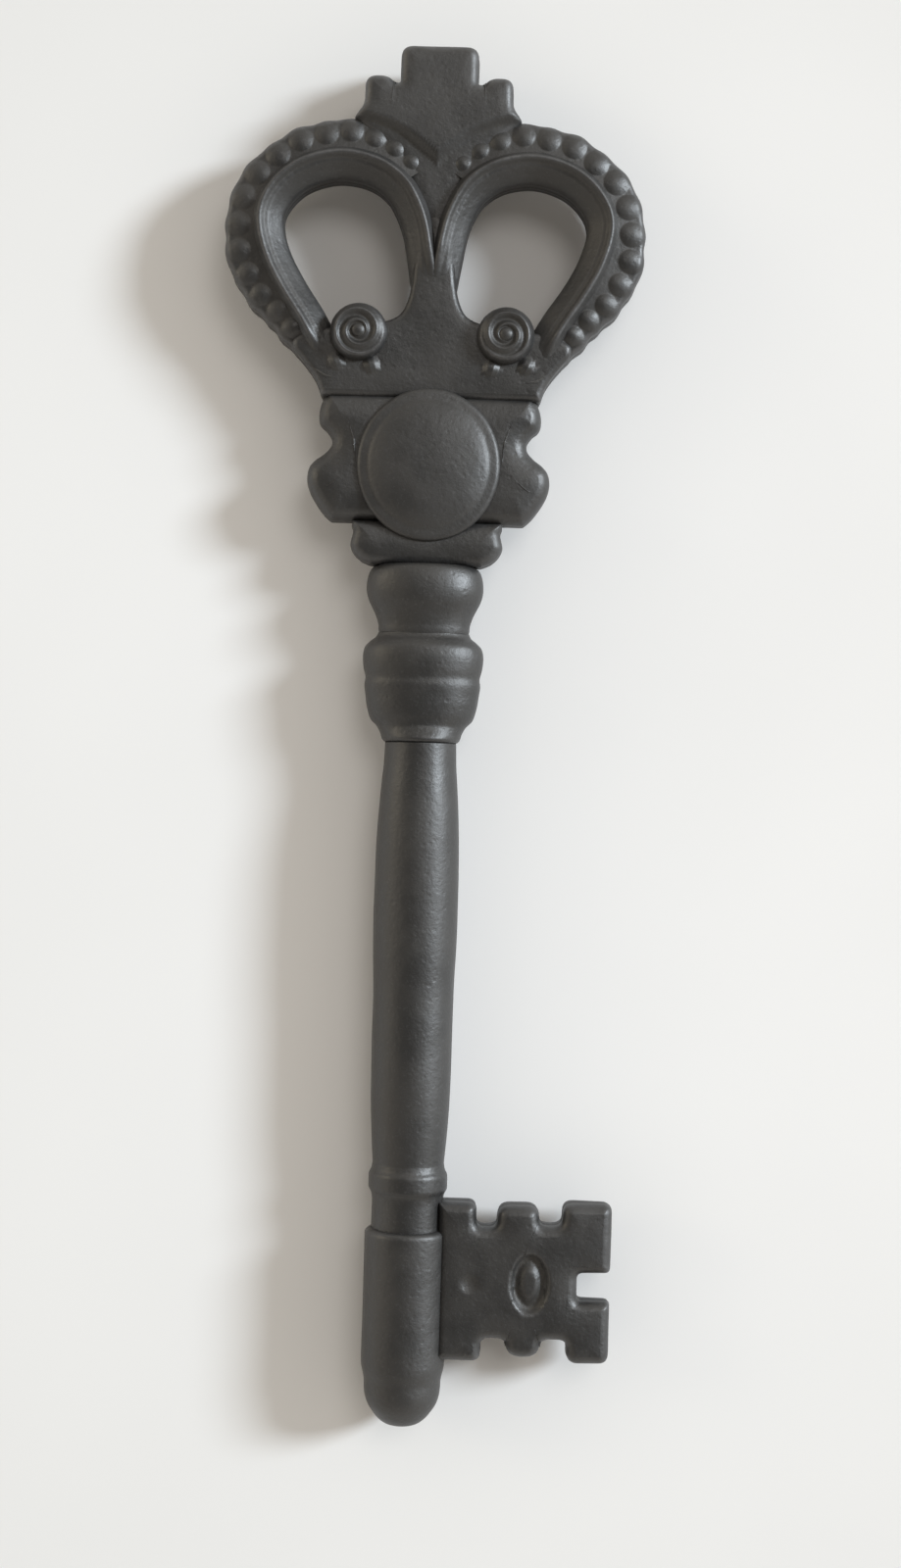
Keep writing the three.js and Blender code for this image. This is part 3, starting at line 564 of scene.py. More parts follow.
def base_relief(x, y):
    """The four small beads, and nothing between them."""
    return domes(x, y, BASE_BEADS, BASE_BEAD_RADIUS, BASE_BEAD_PROUD)


base_right = on_axis(smooth([
    (20.9, 196.7), (21.7, 199.1), (23.1, 201.4), (25.05, 203.85), (26.3, 205.3), (26.6, 207), (24.5, 208.9),
    (14.3, 210.1), (9.8, 211.1), (7.6, 211.8), (6.1, 212.9), (5.0, 215.1), (4.3, 218.3), (3.7, 224),
    (2.4, 229), (1.2, 231.4),
], count=150), 196.6, 231.8)
base_outline = both_sides(base_right, count=560)
base_partners = ridge(base_outline, edge_x=[0, 4.5, 25], ridge_x=[0, 3, 20], place=200)
piece("bow_block", "bow_base", "black_iron", plate(
    base_outline, base_partners, half_depth=4.75, edge=1.2, rise=0.3, reach=4.5, relief=base_relief,
    face_rows=44))

# %% [markdown]
# ## The bow: moulded arms
# Each arm is a moulded bar bent round an eye: a broad slope that faces the eye, two fine ridges and a crest.
# A curve with a bevel profile could sweep it, but here the section has to stop at the middle of the key.

# %% Arms
WEB_HEIGHT = 4.5
ARM_EDGE = 0.1
ARM_TAIL = 12
TAIL_GAP = 0.2
TAIL_POINTS = 60
MIDDLE_GAP = 0.02
WEB_END_SINK = 9
FOOT_END_SINK = 7
FOOT_END_HIDDEN = 1
EYE = smooth([
    (19.18, 210.2), (21.3, 213.8), (24.5, 218.6), (27.4, 223.9), (28.9, 228.9), (28.8, 231.3), (26.9, 234.4),
    (23.9, 236.7), (18.5, 238.2), (12.8, 237.2), (9.4, 234.9), (7.8, 232.4), (6.6, 229.5), (5.9, 226.7),
    (5.4, 223.7), (4.8, 220.1), (4.45, 217.9), (4.4, 216.8),
], count=300)


def beside(curve, distance):
    """The curve moved sideways, to the right of the way it runs."""
    along = unit(np.gradient(curve, axis=0))
    return curve + np.asarray(distance)[..., None] * np.stack([along[:, 1], -along[:, 0]], axis=1)


def mirrored(rings):
    """The same rings on the left of the key."""
    return rings * [-1, 1, 1]


TAIL = EYE[0] + np.linspace(ARM_TAIL, TAIL_GAP, TAIL_POINTS)[:, None] * unit(EYE[0] - EYE[3])
LONG_EYE = np.vstack([TAIL, EYE])

arm_seam = np.stack([ARM_EDGE - seam_at(FROM_SEAM), FROM_SEAM], axis=1)
arm_front = np.vstack([arm_seam, smooth([
    (ARM_EDGE, 1.3), (0.0, 2.0), (0.15, 2.6), (0.7, 3.3), (1.6, 4.15), (2.4, 4.9), (2.8, 5.25), (3.15, 5.4),
    (3.5, 5.55), (3.8, 5.85), (4.15, 6.2), (4.5, 6.34), (4.85, 6.2), (5.1, 5.85), (5.35, 5.4), (5.6, 5.0),
    (5.9, 4.5),
], count=56)])


def arm():
    """Rings of the moulded bar: the section's first number is the distance from the eye, its second the
    height. What rises above the web sinks into it by a soft step at both ends."""
    section = np.vstack([arm_front, arm_front[:0:-1] * [1, -1]])
    line = LONG_EYE[TAIL_POINTS // 2:]
    across = np.stack([beside(line, d) for d in section[:, 0]], axis=1)
    across[..., 0] = np.maximum(across[..., 0], MIDDLE_GAP)
    along = lengths(line)
    at_web = soft_step(along[-1] - along, WEB_END_SINK)
    at_foot = soft_step(along - FOOT_END_HIDDEN, FOOT_END_SINK)
    size = np.abs(section[:, 1])
    over_web = np.maximum(size - WEB_HEIGHT, 0) * (at_web * at_foot)[:, None]
    high = (np.minimum(size, WEB_HEIGHT) + over_web) * np.sign(section[:, 1])
    return np.concatenate([across, high[..., None]], axis=-1)


piece("arm_right", "bow_arm_right", "worn_iron", arm(), capped=True)
piece("arm_left", "bow_arm_left", "worn_iron", mirrored(arm()), capped=True)

# %% [markdown]
# ## The bow: a row of beads
# Outside each arm runs a band of low round beads, which get smaller toward both ends. An Array along a curve
# would keep them all alike, so their places and sizes are worked out from the length along their line.

# %% Places of the beads
OUTER = smooth([
    (0.02, 241.8), (8.46, 247.8), (16.93, 249.94), (22.8, 249.0), (27.2, 247.75), (31.6, 244.8),
    (35.2, 241.8), (38.2, 237.6), (39.9, 232.4), (40.28, 226.7), (39.7, 221.6), (37.8, 217.8), (34.8, 213.3),
    (31.5, 210.2), (28, 206.3), (25.1, 203.8), (23.1, 201.4),
], count=560)
BEAD_INSET = 2.8
BEAD_LINE = beside(OUTER, BEAD_INSET)
LAST_BEAD_Y = 206.3
LEAST_SPACING = 3.5
MORE_SPACING = 1.8
SPACING_POWER = 0.8
BEAD_RADIUS_SHARE = 0.47


def bead_places():
    """Centres and radii of the beads from the middle of the bow to its foot, and the bead number at each
    point of the outer edge. The spacing is least at both ends and grows between them by a sine to a power."""
    along = lengths(BEAD_LINE)
    end = along[np.argmin(np.abs(BEAD_LINE[:, 1] - LAST_BEAD_Y))]
    share = np.clip(along / end, 0, 1)
    spacing = LEAST_SPACING + MORE_SPACING * np.sin(np.pi * share) ** SPACING_POWER
    number = np.concatenate([[0], np.cumsum(np.diff(along) / spacing[1:])])
    wanted = np.arange(1, int(np.interp(end, along, number)) + 1)
    centres = np.stack([np.interp(wanted, number, BEAD_LINE[:, i]) for i in range(2)], axis=1)
    return centres, BEAD_RADIUS_SHARE * np.interp(wanted, number, spacing), number


BEADS, BEAD_RADII, BEAD_NUMBER = bead_places()
print("beads on a rim", len(BEADS), "from", BEADS[0].round(1), "to", BEADS[-1].round(1))

# %% [markdown]
# ## The bow: beaded rims
# The band under the beads slopes down to the outer edge of the bow and bulges a little at each bead. Band
# and beads are one height formula, so that they stay one casting, which beads laid on top wouldn't.

# %% Rims
UNDER_ARM = 4.7
NEAREST_EVENED_OVER = 20
EDGE_INSET = 0.05
BEAD_BULGE = 0.3
RIM_SIDE = 2.6
RIM_EDGE = 1.3
RIM_FACE = (1.5, 6.2)
RIM_FACE_HEIGHTS = (3.94, 5.0)
RIM_FACE_ROWS = 34
RIM_EDGE_ROWS = 7
RIM_BEAD_PROUD = 0.62
RIM_TOP = 6.38
RIM_SINK = 0.9
SUNK_UP_TO = 202
SINK_LENGTH = 6


def rim():
    """Rings of the beaded band, one for each point of the outer edge. A ring crosses from that edge to the
    nearest place under the arm and comes back behind. The edge bulges by a cosine once for each bead, and
    the band sinks into the base block by a soft step at its lower end."""
    under_arm = beside(LONG_EYE, UNDER_ARM)
    nearest = np.argmin(np.linalg.norm(OUTER[:, None] - under_arm[None], axis=2), axis=1)
    window = 2 * NEAREST_EVENED_OVER + 1
    padded = np.pad(nearest, NEAREST_EVENED_OVER, mode="edge")
    nearest = np.convolve(padded, np.ones(window) / window, mode="valid")
    number = np.arange(len(under_arm))
    inner = np.stack([np.interp(nearest, number, under_arm[:, i]) for i in range(2)], axis=1)
    between_beads = 1 + np.cos(2 * np.pi * (BEAD_NUMBER + 0.5))
    outer = beside(OUTER, EDGE_INSET + BEAD_BULGE / 2 * between_beads)
    width = np.linalg.norm(inner - outer, axis=1)[:, None]
    turn = np.linspace(0, np.pi / 2, RIM_EDGE_ROWS + 1)[1:]
    round_in = RIM_EDGE * (1 - np.cos(turn))
    round_up = RIM_SIDE + RIM_EDGE * np.sin(turn)
    deep = np.concatenate([-seam_at(FROM_SEAM), [0], round_in, np.linspace(*RIM_FACE, RIM_FACE_ROWS)])
    body = np.concatenate([FROM_SEAM, [RIM_SIDE], round_up, np.linspace(*RIM_FACE_HEIGHTS, RIM_FACE_ROWS)])
    share = np.minimum(deep / width, 1)
    share = np.where(deep > RIM_EDGE, np.maximum(share, deep / RIM_FACE[1]), share)[..., None]
    flat = outer[:, None] * (1 - share) + inner[:, None] * share
    flat[..., 0] = np.maximum(flat[..., 0], MIDDLE_GAP)
    sink = RIM_SINK * (1 - soft_step(OUTER[:, 1:] - SUNK_UP_TO, SINK_LENGTH))
    relief = domes(flat[..., 0], flat[..., 1], BEADS, BEAD_RADII, RIM_BEAD_PROUD) - sink
    height = body + relief * (body > SEAM_REACH)
    front = np.concatenate([flat, np.minimum(height, RIM_TOP)[..., None]], axis=-1)
    return np.concatenate([front, front[:, :0:-1] * [1, 1, -1]], axis=1)


piece("rim_right", "beaded_rim_right", "black_iron", rim(), capped=True)
piece("rim_left", "beaded_rim_left", "black_iron", mirrored(rim()), capped=True)

# %% [markdown]
# ## The bow: scrolls
# A curled end sits at the foot of each eye. A tube bent to a spiral would look sharper than a painted
# casting, so it is a soft roll on a drum. Its height follows from the angle and the distance to the middle.

# %% Scrolls
SCROLL_X = 14.0
SCROLL_Y = 208.8
SCROLL_RADIUS = 5.48
SCROLL_COLUMNS = 180
SCROLL_FACE_ROWS = 44
SHOULDER_ROWS = 9
SHOULDER_WIDTH = 1.28
SHOULDER_REACH = 1.29
SHOULDER_DROP = 2.2
SCROLL_FACE = 6.75
ROLL_PITCH = 2.1
ROLL_START = 1.3
ROLL_HALF_HEIGHT = 0.32
ROLL_FADES_IN = (1.0, 0.6)
ROLL_FADES_OUT = (5.2, 1.0)
SCROLL_EYE_RADIUS = 1.4
SCROLL_EYE_HEIGHT = 0.8
SCROLL_EYE_POWER = 0.6


def scroll():
    """Rings of a drum with a spiral roll on both faces. The roll's middle line moves in by one pitch each
    turn, and the height over it is a cosine of the distance to that line, so the roll is worn and soft. The
    shoulder is a quarter circle made a little wider, so that it stops short of upright. The seam runs round
    the drum."""
    angle = np.linspace(0, 2 * np.pi, SCROLL_COLUMNS, endpoint=False)
    turn = np.linspace(0, np.pi / 2, SHOULDER_ROWS + 1)[1:]
    flat_to = SCROLL_RADIUS - SHOULDER_WIDTH
    over_shoulder = flat_to + SHOULDER_WIDTH * np.sin(turn)
    radius = np.concatenate([np.linspace(0, flat_to, SCROLL_FACE_ROWS), over_shoulder])[:, None]
    from_line = np.mod((radius - ROLL_START) / ROLL_PITCH + angle / (2 * np.pi), 1) - 0.5
    roll = ROLL_HALF_HEIGHT * (1 + np.cos(2 * np.pi * from_line))
    fade_in = np.clip((radius - ROLL_FADES_IN[0]) / ROLL_FADES_IN[1], 0, 1)
    fade_out = np.clip((ROLL_FADES_OUT[0] - radius) / ROLL_FADES_OUT[1], 0, 1)
    eye = SCROLL_EYE_HEIGHT * np.clip(1 - (radius / SCROLL_EYE_RADIUS) ** 2, 0, 1) ** SCROLL_EYE_POWER
    past = np.clip((radius - flat_to) / SHOULDER_REACH, 0, 1)
    shoulder = SHOULDER_DROP * (1 - np.sqrt(1 - past ** 2))
    height = SCROLL_FACE + np.maximum(roll * (fade_in * fade_out), eye) - shoulder
    middle = np.broadcast_to(SEAM_ROWS[:, None], (len(SEAM_ROWS), len(angle)))
    heights = np.concatenate([height, middle, -height[::-1]])
    radii = np.concatenate([radius, SCROLL_RADIUS + seam_at(SEAM_ROWS[:, None]), radius[::-1]])
    return np.stack([SCROLL_X + radii * np.cos(angle), SCROLL_Y + radii * np.sin(angle), heights], axis=-1)


piece("curl_right", "scroll_right", "black_iron", scroll())
piece("curl_left", "scroll_left", "black_iron", mirrored(scroll()))

# %% [markdown]
# ## The crown
# Three short posts stand on the dip of the heart, the middle one taller. The crown's foot dips under the rims
# and reaches down between the arms, as metal that was poured with them. It is one more plate, so that posts
# and foot share a skin, where three blocks would show their joints.

# %% Crown
CROWN_SUNK = 1.1
SUNK_BELOW = -0.5
SUNK_BLEND = 2.0
TIP_FALL = 0.7
FALL_FROM = 251
FALL_LENGTH = 13
RIM_TOP_LINE = OUTER[:200]


def crown_relief(x, y):
    """The face is 1.1 millimetres lower up to half a millimetre below the outer edge of the rims, and gets
    to its full height by a soft step over the next two. It falls by 0.7 toward the tips of the posts."""
    over_rim = y - np.interp(np.abs(x), RIM_TOP_LINE[:, 0], RIM_TOP_LINE[:, 1])
    sunk = CROWN_SUNK * (1 - soft_step(over_rim - SUNK_BELOW, SUNK_BLEND))
    return -sunk - TIP_FALL * soft_step(y - FALL_FROM, FALL_LENGTH)


crown_right = rounded([
    (0, 226, 0), (2.6, 231, 1), (8, 243, 2), (14.4, 247.9, 1.5), (16.1, 250.0, 0.5), (14.15, 252.4, 1.4),
    (14.15, 258.1, 2.3), (9.3, 258.1, 1.9), (8.5, 256.75, 0.6), (7.45, 256.75, 0.4), (7.45, 264, 2.4),
    (0, 264, 0),
])
crown_outline = both_sides(crown_right, count=900)
CROWN_WALK = [
    (0, 226, 0, 232), (2.6, 231.2, 0, 236), (7.9, 242.6, 0, 252), (14.2, 247.8, 9, 252),
    (15.6, 249.4, 11, 252), (14.15, 253.2, 11, 252), (14.15, 255.6, 11, 255), (9.9, 258, 11, 255),
    (9.0, 257.2, 11, 252), (7.9, 256.75, 7, 252), (7.45, 259, 0, 252), (7.4, 262.3, 0, 260), (0, 264, 0, 260),
]
piece("crown_posts", "crown", "worn_iron", plate(
    crown_outline, branched(crown_outline, CROWN_WALK), half_depth=5.57, edge=1.5, rise=0.5, reach=3.5,
    relief=crown_relief))

# %% [markdown]
# ## The outline of the bit
# The bit is a plate with three lobes up and down and a slot in its outer edge. It isn't the same on both
# sides of anything, so its outline goes all the way round. Its ridge line branches into every lobe. Each
# corner below holds x, y and radius, its partner on that line, and the corners of the line on the way on.

# %% Outline of the bit
POINT_SPACING = 0.33
PARTNER_SPACING = 0.45
BIT_TOUR = [
    (6, 13.4, 0, [(10, 18)]), (14.8, 13.4, 1.7, [(10, 18), (10, 28)]), (14.8, 17.8, 1.7, [(14, 28)]),
    (19.5, 17.8, 1.6, [(19, 28), (23, 28)]), (19.5, 14.4, 2.9, [(23, 19)]),
    (26.2, 14.4, 2.9, [(23, 19), (23, 28)]), (26.2, 17.8, 1.6, [(26, 28)]),
    (31.2, 17.8, 1.7, [(31, 28), (31, 24), (35.5, 24)]), (31.2, 13.3, 2.3, [(35.5, 17)]),
    (39.28, 13.3, 1.9, [(35.5, 17)]), (39.28, 25.2, 1.1, [(35.5, 24)]),
    (32.9, 25.2, 1.2, [(31, 24), (31, 28)]), (32.9, 30.6, 1.2, [(31, 32)]),
    (39.28, 30.6, 1.1, [(35.5, 32)]), (39.28, 43.85, 1.9, [(35.5, 40)]),
    (29.8, 43.85, 2.1, [(35.5, 40), (35.5, 32), (31, 32), (31, 28)]), (29.8, 39.4, 1.8, [(30, 28)]),
    (25.3, 39.4, 1.7, [(24, 28), (21.5, 28)]), (25.3, 43.2, 2.4, [(21.5, 38)]),
    (17.4, 43.2, 2.4, [(21.5, 38), (21.5, 28)]), (17.4, 38.9, 1.7, [(18, 28)]),
    (13.3, 38.9, 1.7, [(13, 28), (10, 28)]), (13.3, 43.6, 1.7, [(10, 39)]), (6, 43.6, 0, [(10, 39)]),
]


def bit_rings():
    """Outline and partners of the bit. Between two corners the outline has as many points as its own length
    or its stretch of the ridge line asks for, and the partners are rounded to half millimetres so that they
    meet."""
    corners = np.array([row[:3] for row in BIT_TOUR])
    around = np.vstack([corners[-1:], corners, corners[:2]])
    outline = []
    partners = []
    for i, row in enumerate(BIT_TOUR):
        before, here, after, beyond = around[i:i + 4]
        stretch = np.array(row[3] + BIT_TOUR[(i + 1) % len(BIT_TOUR)][3][:1], float)
        arc_here = rounded([before, here, after])[1:-1]
        arc_next = rounded([here, after, beyond])[1:-1]
        line = np.vstack([arc_here[len(arc_here) // 2:], arc_next[:len(arc_next) // 2 + 1]])
        count = int(max(lengths(line)[-1] / POINT_SPACING, lengths(stretch)[-1] / PARTNER_SPACING)) + 2
        outline.append(evenly(line, count)[:-1])
        partners.append(np.round(2 * evenly(stretch, count)[:-1]) / 2)
    return np.vstack(outline), np.vstack(partners)


bit_outline, bit_partners = bit_rings()
print("the outline of the bit has", len(bit_outline), "points")

# %% [markdown]
# ## The face of the bit
# A sunk oval with a button in it decorates the bit. A Boolean could cut it, with edges to bevel afterwards.
# As a height it has its soft edges at once, and so has the draft that lets the bit out of the mould.

# %% Bit
OVAL_X = 23.8
OVAL_Y = 28.7
OVAL_HALF_SIZES = (3.9, 6.2)
OVAL_DEPTH = 1.2
OVAL_WALL_SHARE = 0.28
BUTTON_HALF_SIZES = (2.5, 4.6)
BUTTON_HEIGHT = 0.95
BUTTON_SLOPE_SHARE = 0.6
DIMPLE_X = 12.4
DIMPLE_Y = 28.4
DIMPLE_RADIUS = 2.2
DIMPLE_DEPTH = 0.5
DIMPLE_SLOPE_SHARE = 0.8
DRAFT = 0.8
DRAFT_FROM = 27
DRAFT_LENGTH = 13


def from_oval(x, y, half_sizes):
    """The distance from the middle of the oval, as a share of its half sizes."""
    return np.hypot((x - OVAL_X) / half_sizes[0], (y - OVAL_Y) / half_sizes[1])


def bit_relief(x, y):
    """A sunk oval with an oval button in it, and a small hollow near the barrel. Each follows a soft step of
    the distance from its centre, as a share of its own half sizes. The plate gets thinner toward its outer
    edge by one more soft step."""
    dimple = np.hypot(x - DIMPLE_X, y - DIMPLE_Y) / DIMPLE_RADIUS
    sunk = OVAL_DEPTH * soft_step(1 - from_oval(x, y, OVAL_HALF_SIZES), OVAL_WALL_SHARE)
    button = BUTTON_HEIGHT * soft_step(1 - from_oval(x, y, BUTTON_HALF_SIZES), BUTTON_SLOPE_SHARE)
    hollow = DIMPLE_DEPTH * soft_step(1 - dimple, DIMPLE_SLOPE_SHARE)
    return -sunk - hollow + button - DRAFT * soft_step(x - DRAFT_FROM, DRAFT_LENGTH)


piece("bit_lobes", "bit_plate", "black_iron", plate(
    bit_outline, bit_partners, half_depth=4.38, edge=1.7, rise=0.5, reach=4.5, relief=bit_relief,
    face_rows=34))

# %% [markdown]
# ## Shader nodes
# Every finish below is built from the same few kinds of node. They could be wired by hand in the editor, but
# a short function for each kind keeps a finish readable as a sum of its effects.

# %% Shader nodes
def new_group(name, inputs, outputs):
    """An empty shader node group with float or vector sockets."""
    group = bpy.data.node_groups.new(name, "ShaderNodeTree")
    for label, kind, value in inputs:
        socket = group.interface.new_socket(name=label, in_out="INPUT", socket_type=kind)
        socket.default_value = value
    for label, kind in outputs:
        group.interface.new_socket(name=label, in_out="OUTPUT", socket_type=kind)
    print("group", name, "gives", [label for label, _ in outputs])
    return group, group.nodes.new("NodeGroupInput"), group.nodes.new("NodeGroupOutput")


def noise(tree, vector, scale, detail, roughness=0.55):
    """A noise texture on the given coordinates, with its scale in waves per metre."""
    node = tree.nodes.new("ShaderNodeTexNoise")
    node.inputs["Scale"].default_value = scale
    node.inputs["Detail"].default_value = detail
    node.inputs["Roughness"].default_value = roughness
    tree.links.new(vector, node.inputs["Vector"])
    return node.outputs["Fac"]


def math_node(tree, operation, *values):
    """A Math node whose inputs are numbers or sockets."""
    node = tree.nodes.new("ShaderNodeMath")
    node.operation = operation
    for i, value in enumerate(values):
        if isinstance(value, (int, float)):
            node.inputs[i].default_value = value
        else:
            tree.links.new(value, node.inputs[i])
    return node.outputs[0]


def weighted_sum(tree, *parts):
    """The sum of several sockets, each times its own number."""
    total = math_node(tree, "MULTIPLY", *parts[0])
    for part in parts[1:]:
        total = math_node(tree, "ADD", total, math_node(tree, "MULTIPLY", *part))
    return total


def spread(tree, value, low, high, to_low=0.0, to_high=1.0):
    """A Map Range node that smooths and clamps."""
    node = tree.nodes.new("ShaderNodeMapRange")
    node.interpolation_type = "SMOOTHSTEP"
    for label, number in (("From Min", low), ("From Max", high), ("To Min", to_low), ("To Max", to_high)):
        node.inputs[label].default_value = number
    tree.links.new(value, node.inputs["Value"])
    return node.outputs["Result"]


def mixed(tree, factor, first, second):
    """A colour mix of two colours or sockets."""
    node = tree.nodes.new("ShaderNodeMix")
    node.data_type = "RGBA"
    tree.links.new(factor, node.inputs["Factor"])
    for socket, value in ((node.inputs[6], first), (node.inputs[7], second)):
        if isinstance(value, tuple):
            socket.default_value = (*value, 1)
        else:
            tree.links.new(value, socket)
    return node.outputs[2]


# %% [markdown]
# ## Casting grain
# Sand leaves a fine grain, small pits and a slow mottling in the iron. A scanned texture would show them, but
# noise in Object coordinates has no seams and sits still on the key. One node group gives it to every finish.

# %% Casting grain group
grain, grain_in, grain_out = new_group(
    "sand casting grain",
    [("Vector", "NodeSocketVector", (0, 0, 0)), ("Pits", "NodeSocketFloat", 0.5)],
    [("Height", "NodeSocketFloat"), ("Mottle", "NodeSocketFloat"), ("Speck", "NodeSocketFloat")],
)
position = grain_in.outputs["Vector"]
lumps = noise(grain, position, scale=170, detail=3)
sand = noise(grain, position, scale=1250, detail=4, roughness=0.6)
fine = noise(grain, position, scale=4200, detail=2)
pores = grain.nodes.new("ShaderNodeTexVoronoi")
pores.inputs["Scale"].default_value = 620
grain.links.new(position, pores.inputs["Vector"])
hole = spread(grain, pores.outputs["Distance"], 0.12, 0.34, to_low=-1, to_high=0)
pit = math_node(grain, "MULTIPLY", hole, grain_in.outputs["Pits"])
height = weighted_sum(grain, (lumps, 1.6), (sand, 0.55), (fine, 0.16), (pit, 0.35))
mottle = spread(grain, noise(grain, position, scale=95, detail=4), 0.36, 0.66)
speck = spread(grain, noise(grain, position, scale=1900, detail=2), 0.58, 0.72)
grain.links.new(height, grain_out.inputs["Height"])
grain.links.new(mottle, grain_out.inputs["Mottle"])
grain.links.new(speck, grain_out.inputs["Speck"])

# %% [markdown]
# ## Wear and dust
# Hands rub the paint thin on edges and beads, and dust stays in the hollows. Both could be painted by hand.
# Here the attribute stored with each mesh says which is which, and noise breaks the border up.

# %% Wear group
wear, wear_in, wear_out = new_group(
    "wear and dust",
    [
        ("Vector", "NodeSocketVector", (0, 0, 0)),
        ("Raised", "NodeSocketFloat", 0.0),
        ("Rubbed", "NodeSocketFloat", 0.5),
    ],
    [("Bare", "NodeSocketFloat"), ("Dust", "NodeSocketFloat")],
)
blotches = noise(wear, wear_in.outputs["Vector"], scale=420, detail=4, roughness=0.65)
patch = spread(wear, blotches, 0.3, 0.7, to_low=0.25, to_high=1)
proud = spread(wear, wear_in.outputs["Raised"], 0.12, 0.75)
hollow = spread(wear, wear_in.outputs["Raised"], -0.05, -0.5)
rubbed_off = math_node(wear, "MULTIPLY", math_node(wear, "MULTIPLY", proud, patch), wear_in.outputs["Rubbed"])
wear.links.new(rubbed_off, wear_out.inputs["Bare"])
wear.links.new(math_node(wear, "MULTIPLY", hollow, patch), wear_out.inputs["Dust"])

# %% [markdown]
# ## Two finishes of the same iron
# Satin black paint over iron is a very dark, nearly neutral grey with a soft gloss. Where it is rubbed,
# greyer and smoother metal shows. One material with a painted mask would do for one key, but two finishes
# from the same nodes, one with more rubbing, let each part say how much it is handled.

# %% Iron finishes
DUST = (0.07, 0.06, 0.045)
SPECK_STRENGTH = 0.1
DUST_STRENGTH = 0.35
BARE_METALLIC = 0.55
MOTTLE_ROUGHNESS = 0.08
BARE_ROUGHNESS = -0.14
DUST_ROUGHNESS = 0.2
PAINT_GLOSS = 0.8
GRAIN_STRENGTH = 0.55
GRAIN_DEPTH = 0.22 * MM


def iron(name, paint, paint_light, metal, rubbed, rough):
    """A material of the two groups: paint varies between two tones, bare metal shows by the wear mask, and
    dust dulls the hollows."""
    material = bpy.data.materials.new(name)
    material.use_nodes = True
    tree = material.node_tree
    tree.nodes.clear()
    out = tree.nodes.new("ShaderNodeOutputMaterial")
    shader = tree.nodes.new("ShaderNodeBsdfPrincipled")
    coordinates = tree.nodes.new("ShaderNodeTexCoord")
    raised = tree.nodes.new("ShaderNodeAttribute")
    raised.attribute_name = "raised"
    cast = tree.nodes.new("ShaderNodeGroup")
    cast.node_tree = grain
    worn = tree.nodes.new("ShaderNodeGroup")
    worn.node_tree = wear
    worn.inputs["Rubbed"].default_value = rubbed
    tree.links.new(coordinates.outputs["Object"], cast.inputs["Vector"])
    tree.links.new(coordinates.outputs["Object"], worn.inputs["Vector"])
    tree.links.new(raised.outputs["Fac"], worn.inputs["Raised"])
    bare = worn.outputs["Bare"]
    dust = worn.outputs["Dust"]
    tone = mixed(tree, cast.outputs["Mottle"], paint, paint_light)
    tone = mixed(tree, math_node(tree, "MULTIPLY", cast.outputs["Speck"], SPECK_STRENGTH), tone, metal)
    tone = mixed(tree, bare, tone, metal)
    tone = mixed(tree, math_node(tree, "MULTIPLY", dust, DUST_STRENGTH), tone, DUST)
    tree.links.new(tone, shader.inputs["Base Color"])
    tree.links.new(math_node(tree, "MULTIPLY", bare, BARE_METALLIC), shader.inputs["Metallic"])
    rougher = weighted_sum(
        tree, (cast.outputs["Mottle"], MOTTLE_ROUGHNESS), (bare, BARE_ROUGHNESS), (dust, DUST_ROUGHNESS))
    tree.links.new(math_node(tree, "ADD", rough, rougher), shader.inputs["Roughness"])
    shader.inputs["Specular IOR Level"].default_value = PAINT_GLOSS
    bump = tree.nodes.new("ShaderNodeBump")
    bump.inputs["Strength"].default_value = GRAIN_STRENGTH
    bump.inputs["Distance"].default_value = GRAIN_DEPTH
    tree.links.new(cast.outputs["Height"], bump.inputs["Height"])
    tree.links.new(bump.outputs["Normal"], shader.inputs["Normal"])
    tree.links.new(shader.outputs["BSDF"], out.inputs["Surface"])
    return material


FINISHES = {
    "black_iron": iron(
        "satin black iron",
        paint=(0.013, 0.013, 0.013),
        paint_light=(0.021, 0.020, 0.019),
        metal=(0.14, 0.14, 0.145),
        rubbed=0.5,
        rough=0.44,
    ),
    "worn_iron": iron(
        "handled black iron",
        paint=(0.016, 0.016, 0.016),
        paint_light=(0.025, 0.024, 0.023),
        metal=(0.15, 0.15, 0.155),
        rubbed=0.65,
        rough=0.46,
    ),
}
for made in list(bpy.data.objects):
    if made.type == "MESH" and made.get("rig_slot") in FINISHES:
        made.data.materials.clear()
        made.data.materials.append(FINISHES[made["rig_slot"]])
print("finishes and the meshes that have them", {finish.name: finish.users for finish in FINISHES.values()})

# %% [markdown]
# ## The table
# The key lies on white paper. A plain colour would do, but the light falls off across it in the photograph.
# Lamps that fall off would change the key too, so the fall-off is painted shade: the paper itself gets a
# little darker with the distance.

# %% Table
TABLE_SIZE = 6
LIGHTEST_PLACE = (0.07, 0, 0)
LIGHT_TO = 0.05
DARK_FROM = 0.35
PAPER = (0.835, 0.835, 0.835)
PAPER_LIGHT = (0.86, 0.86, 0.86)
# painted shade: the paper's tone far from the lightest place, where the light has fallen off
PAPER_IN_PAINTED_SHADE = (0.73, 0.73, 0.72)


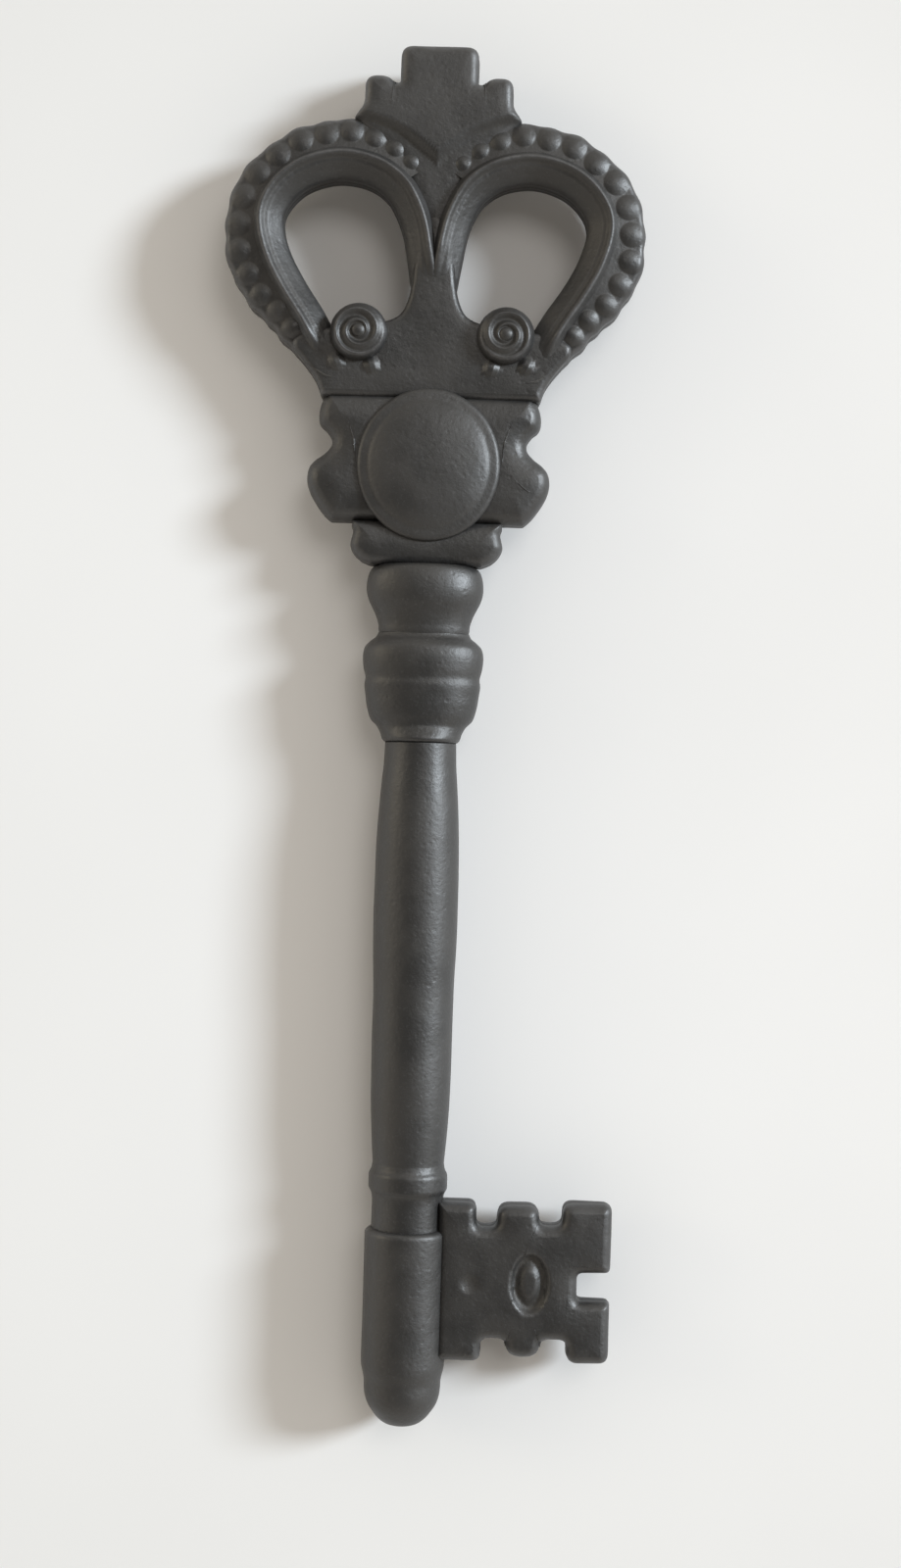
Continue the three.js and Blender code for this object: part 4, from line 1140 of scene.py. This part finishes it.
def table_material():
    """Matt white paper with a faint unevenness of tone. Painted shade darkens it by a soft step of the
    distance from the lightest place, on the window's side of the key, standing in for light that falls off."""
    material = bpy.data.materials.new("white paper")
    material.use_nodes = True
    tree = material.node_tree
    shader = tree.nodes["Principled BSDF"]
    coordinates = tree.nodes.new("ShaderNodeTexCoord")
    shade = spread(tree, noise(tree, coordinates.outputs["Object"], scale=9, detail=2), 0.3, 0.7)
    away = tree.nodes.new("ShaderNodeVectorMath")
    away.operation = "DISTANCE"
    away.inputs[1].default_value = LIGHTEST_PLACE
    tree.links.new(coordinates.outputs["Object"], away.inputs[0])
    near = mixed(tree, shade, PAPER, PAPER_LIGHT)
    # painted shade: the paper darkens away from the lightest place, as if the light fell off
    tone = mixed(tree, spread(tree, away.outputs["Value"], LIGHT_TO, DARK_FROM), near, PAPER_IN_PAINTED_SHADE)
    tree.links.new(tone, shader.inputs["Base Color"])
    shader.inputs["Roughness"].default_value = 1.0
    shader.inputs["Specular IOR Level"].default_value = 0.0
    return material


bpy.ops.mesh.primitive_plane_add(size=TABLE_SIZE, location=(0, 0, 0))
table = bpy.context.object
table.name = "table_top"
table.data.materials.append(table_material())
print("the table measures", TABLE_SIZE, "m each way")

# %% [markdown]
# ## Lamps
# A window on the right lights the key from low down with a cool soft light. A weak warm lamp on the left and
# a brighter patch of ceiling behind the crown add the smaller glints. Area lamps could stand for all three,
# but suns light the whole table evenly.

# %% Lamps
def light_from(name, direction, softness, strength, colour):
    """A sun lamp that shines from the given direction. Its angle, in radians, says how soft its shadows are.
    A lamp shines along its own -Z, so it is tilted from straight down by the arctangent of across over up,
    and turned."""
    light = bpy.data.lights.new(name, "SUN")
    light.energy = strength
    light.angle = softness
    light.color = colour
    made = bpy.data.objects.new(name, light)
    bpy.context.scene.collection.objects.link(made)
    x, y, z = direction
    made.location = direction
    made.rotation_euler = (math.atan2(math.hypot(x, y), z), 0, math.atan2(x, -y))
    print(name, "shines with strength", strength)


light_from("window", (1.1, 0.38, 0.58), softness=0.22, strength=3.5, colour=(0.85, 0.93, 1.0))
light_from("lamp on the left", (-1.15, 0.35, 0.36), softness=0.35, strength=0.35, colour=(1.0, 0.88, 0.66))
light_from("bright ceiling behind the crown", (0.42, 0.62, 1.3), softness=0.5, strength=0.5,
           colour=(1.0, 0.97, 0.93))

# %% [markdown]
# ## The room
# Pale warm walls all round fill the shadow, and a darker ceiling keeps the flat faces dark, so that only the
# slopes catch the light. A picture of a room would do the same, but two tones by height are enough for satin
# paint.

# %% Room
WALLS = (0.82, 0.765, 0.69)
CEILING = (0.10, 0.085, 0.07)
WALLS_TO = 0.45
CEILING_FROM = 0.95

world = bpy.data.worlds.new("room")
bpy.context.scene.world = world
world.use_nodes = True
room = world.node_tree
room.nodes.clear()
room_out = room.nodes.new("ShaderNodeOutputWorld")
sky = room.nodes.new("ShaderNodeBackground")
direction = room.nodes.new("ShaderNodeTexCoord")
parts = room.nodes.new("ShaderNodeSeparateXYZ")
room.links.new(direction.outputs["Generated"], parts.inputs["Vector"])
overhead = spread(room, parts.outputs["Z"], WALLS_TO, CEILING_FROM)
room.links.new(mixed(room, overhead, WALLS, CEILING), sky.inputs["Color"])
room.links.new(sky.outputs["Background"], room_out.inputs["Surface"])
print("the walls are", round(WALLS[0] / CEILING[0], 1), "times as bright as the ceiling")

# %% [markdown]
# ## Camera
# The photograph looks straight down, with the key turned by under two degrees. The picture is 301
# millimetres tall at the level of the key. A lens could be tried by eye, but it follows from that height and
# the distance.

# %% Camera
KEY_TURN = 0.0293
DISTANCE = 0.43
PICTURE_HEIGHT = 0.3013
PICTURE_X = 0.00597
PICTURE_Y = -0.00865
SENSOR = 36

camera_data = bpy.data.cameras.new("camera")
camera_data.sensor_width = SENSOR
camera_data.lens = SENSOR * DISTANCE / PICTURE_HEIGHT
camera = bpy.data.objects.new("camera", camera_data)
bpy.context.scene.collection.objects.link(camera)
camera.location = (PICTURE_X, PICTURE_Y, MID_Z + DISTANCE)
camera.rotation_euler = (0, 0, KEY_TURN)
bpy.context.scene.camera = camera
bpy.context.scene.view_settings.view_transform = "Standard"
print("the lens is", round(camera_data.lens, 1), "mm long")
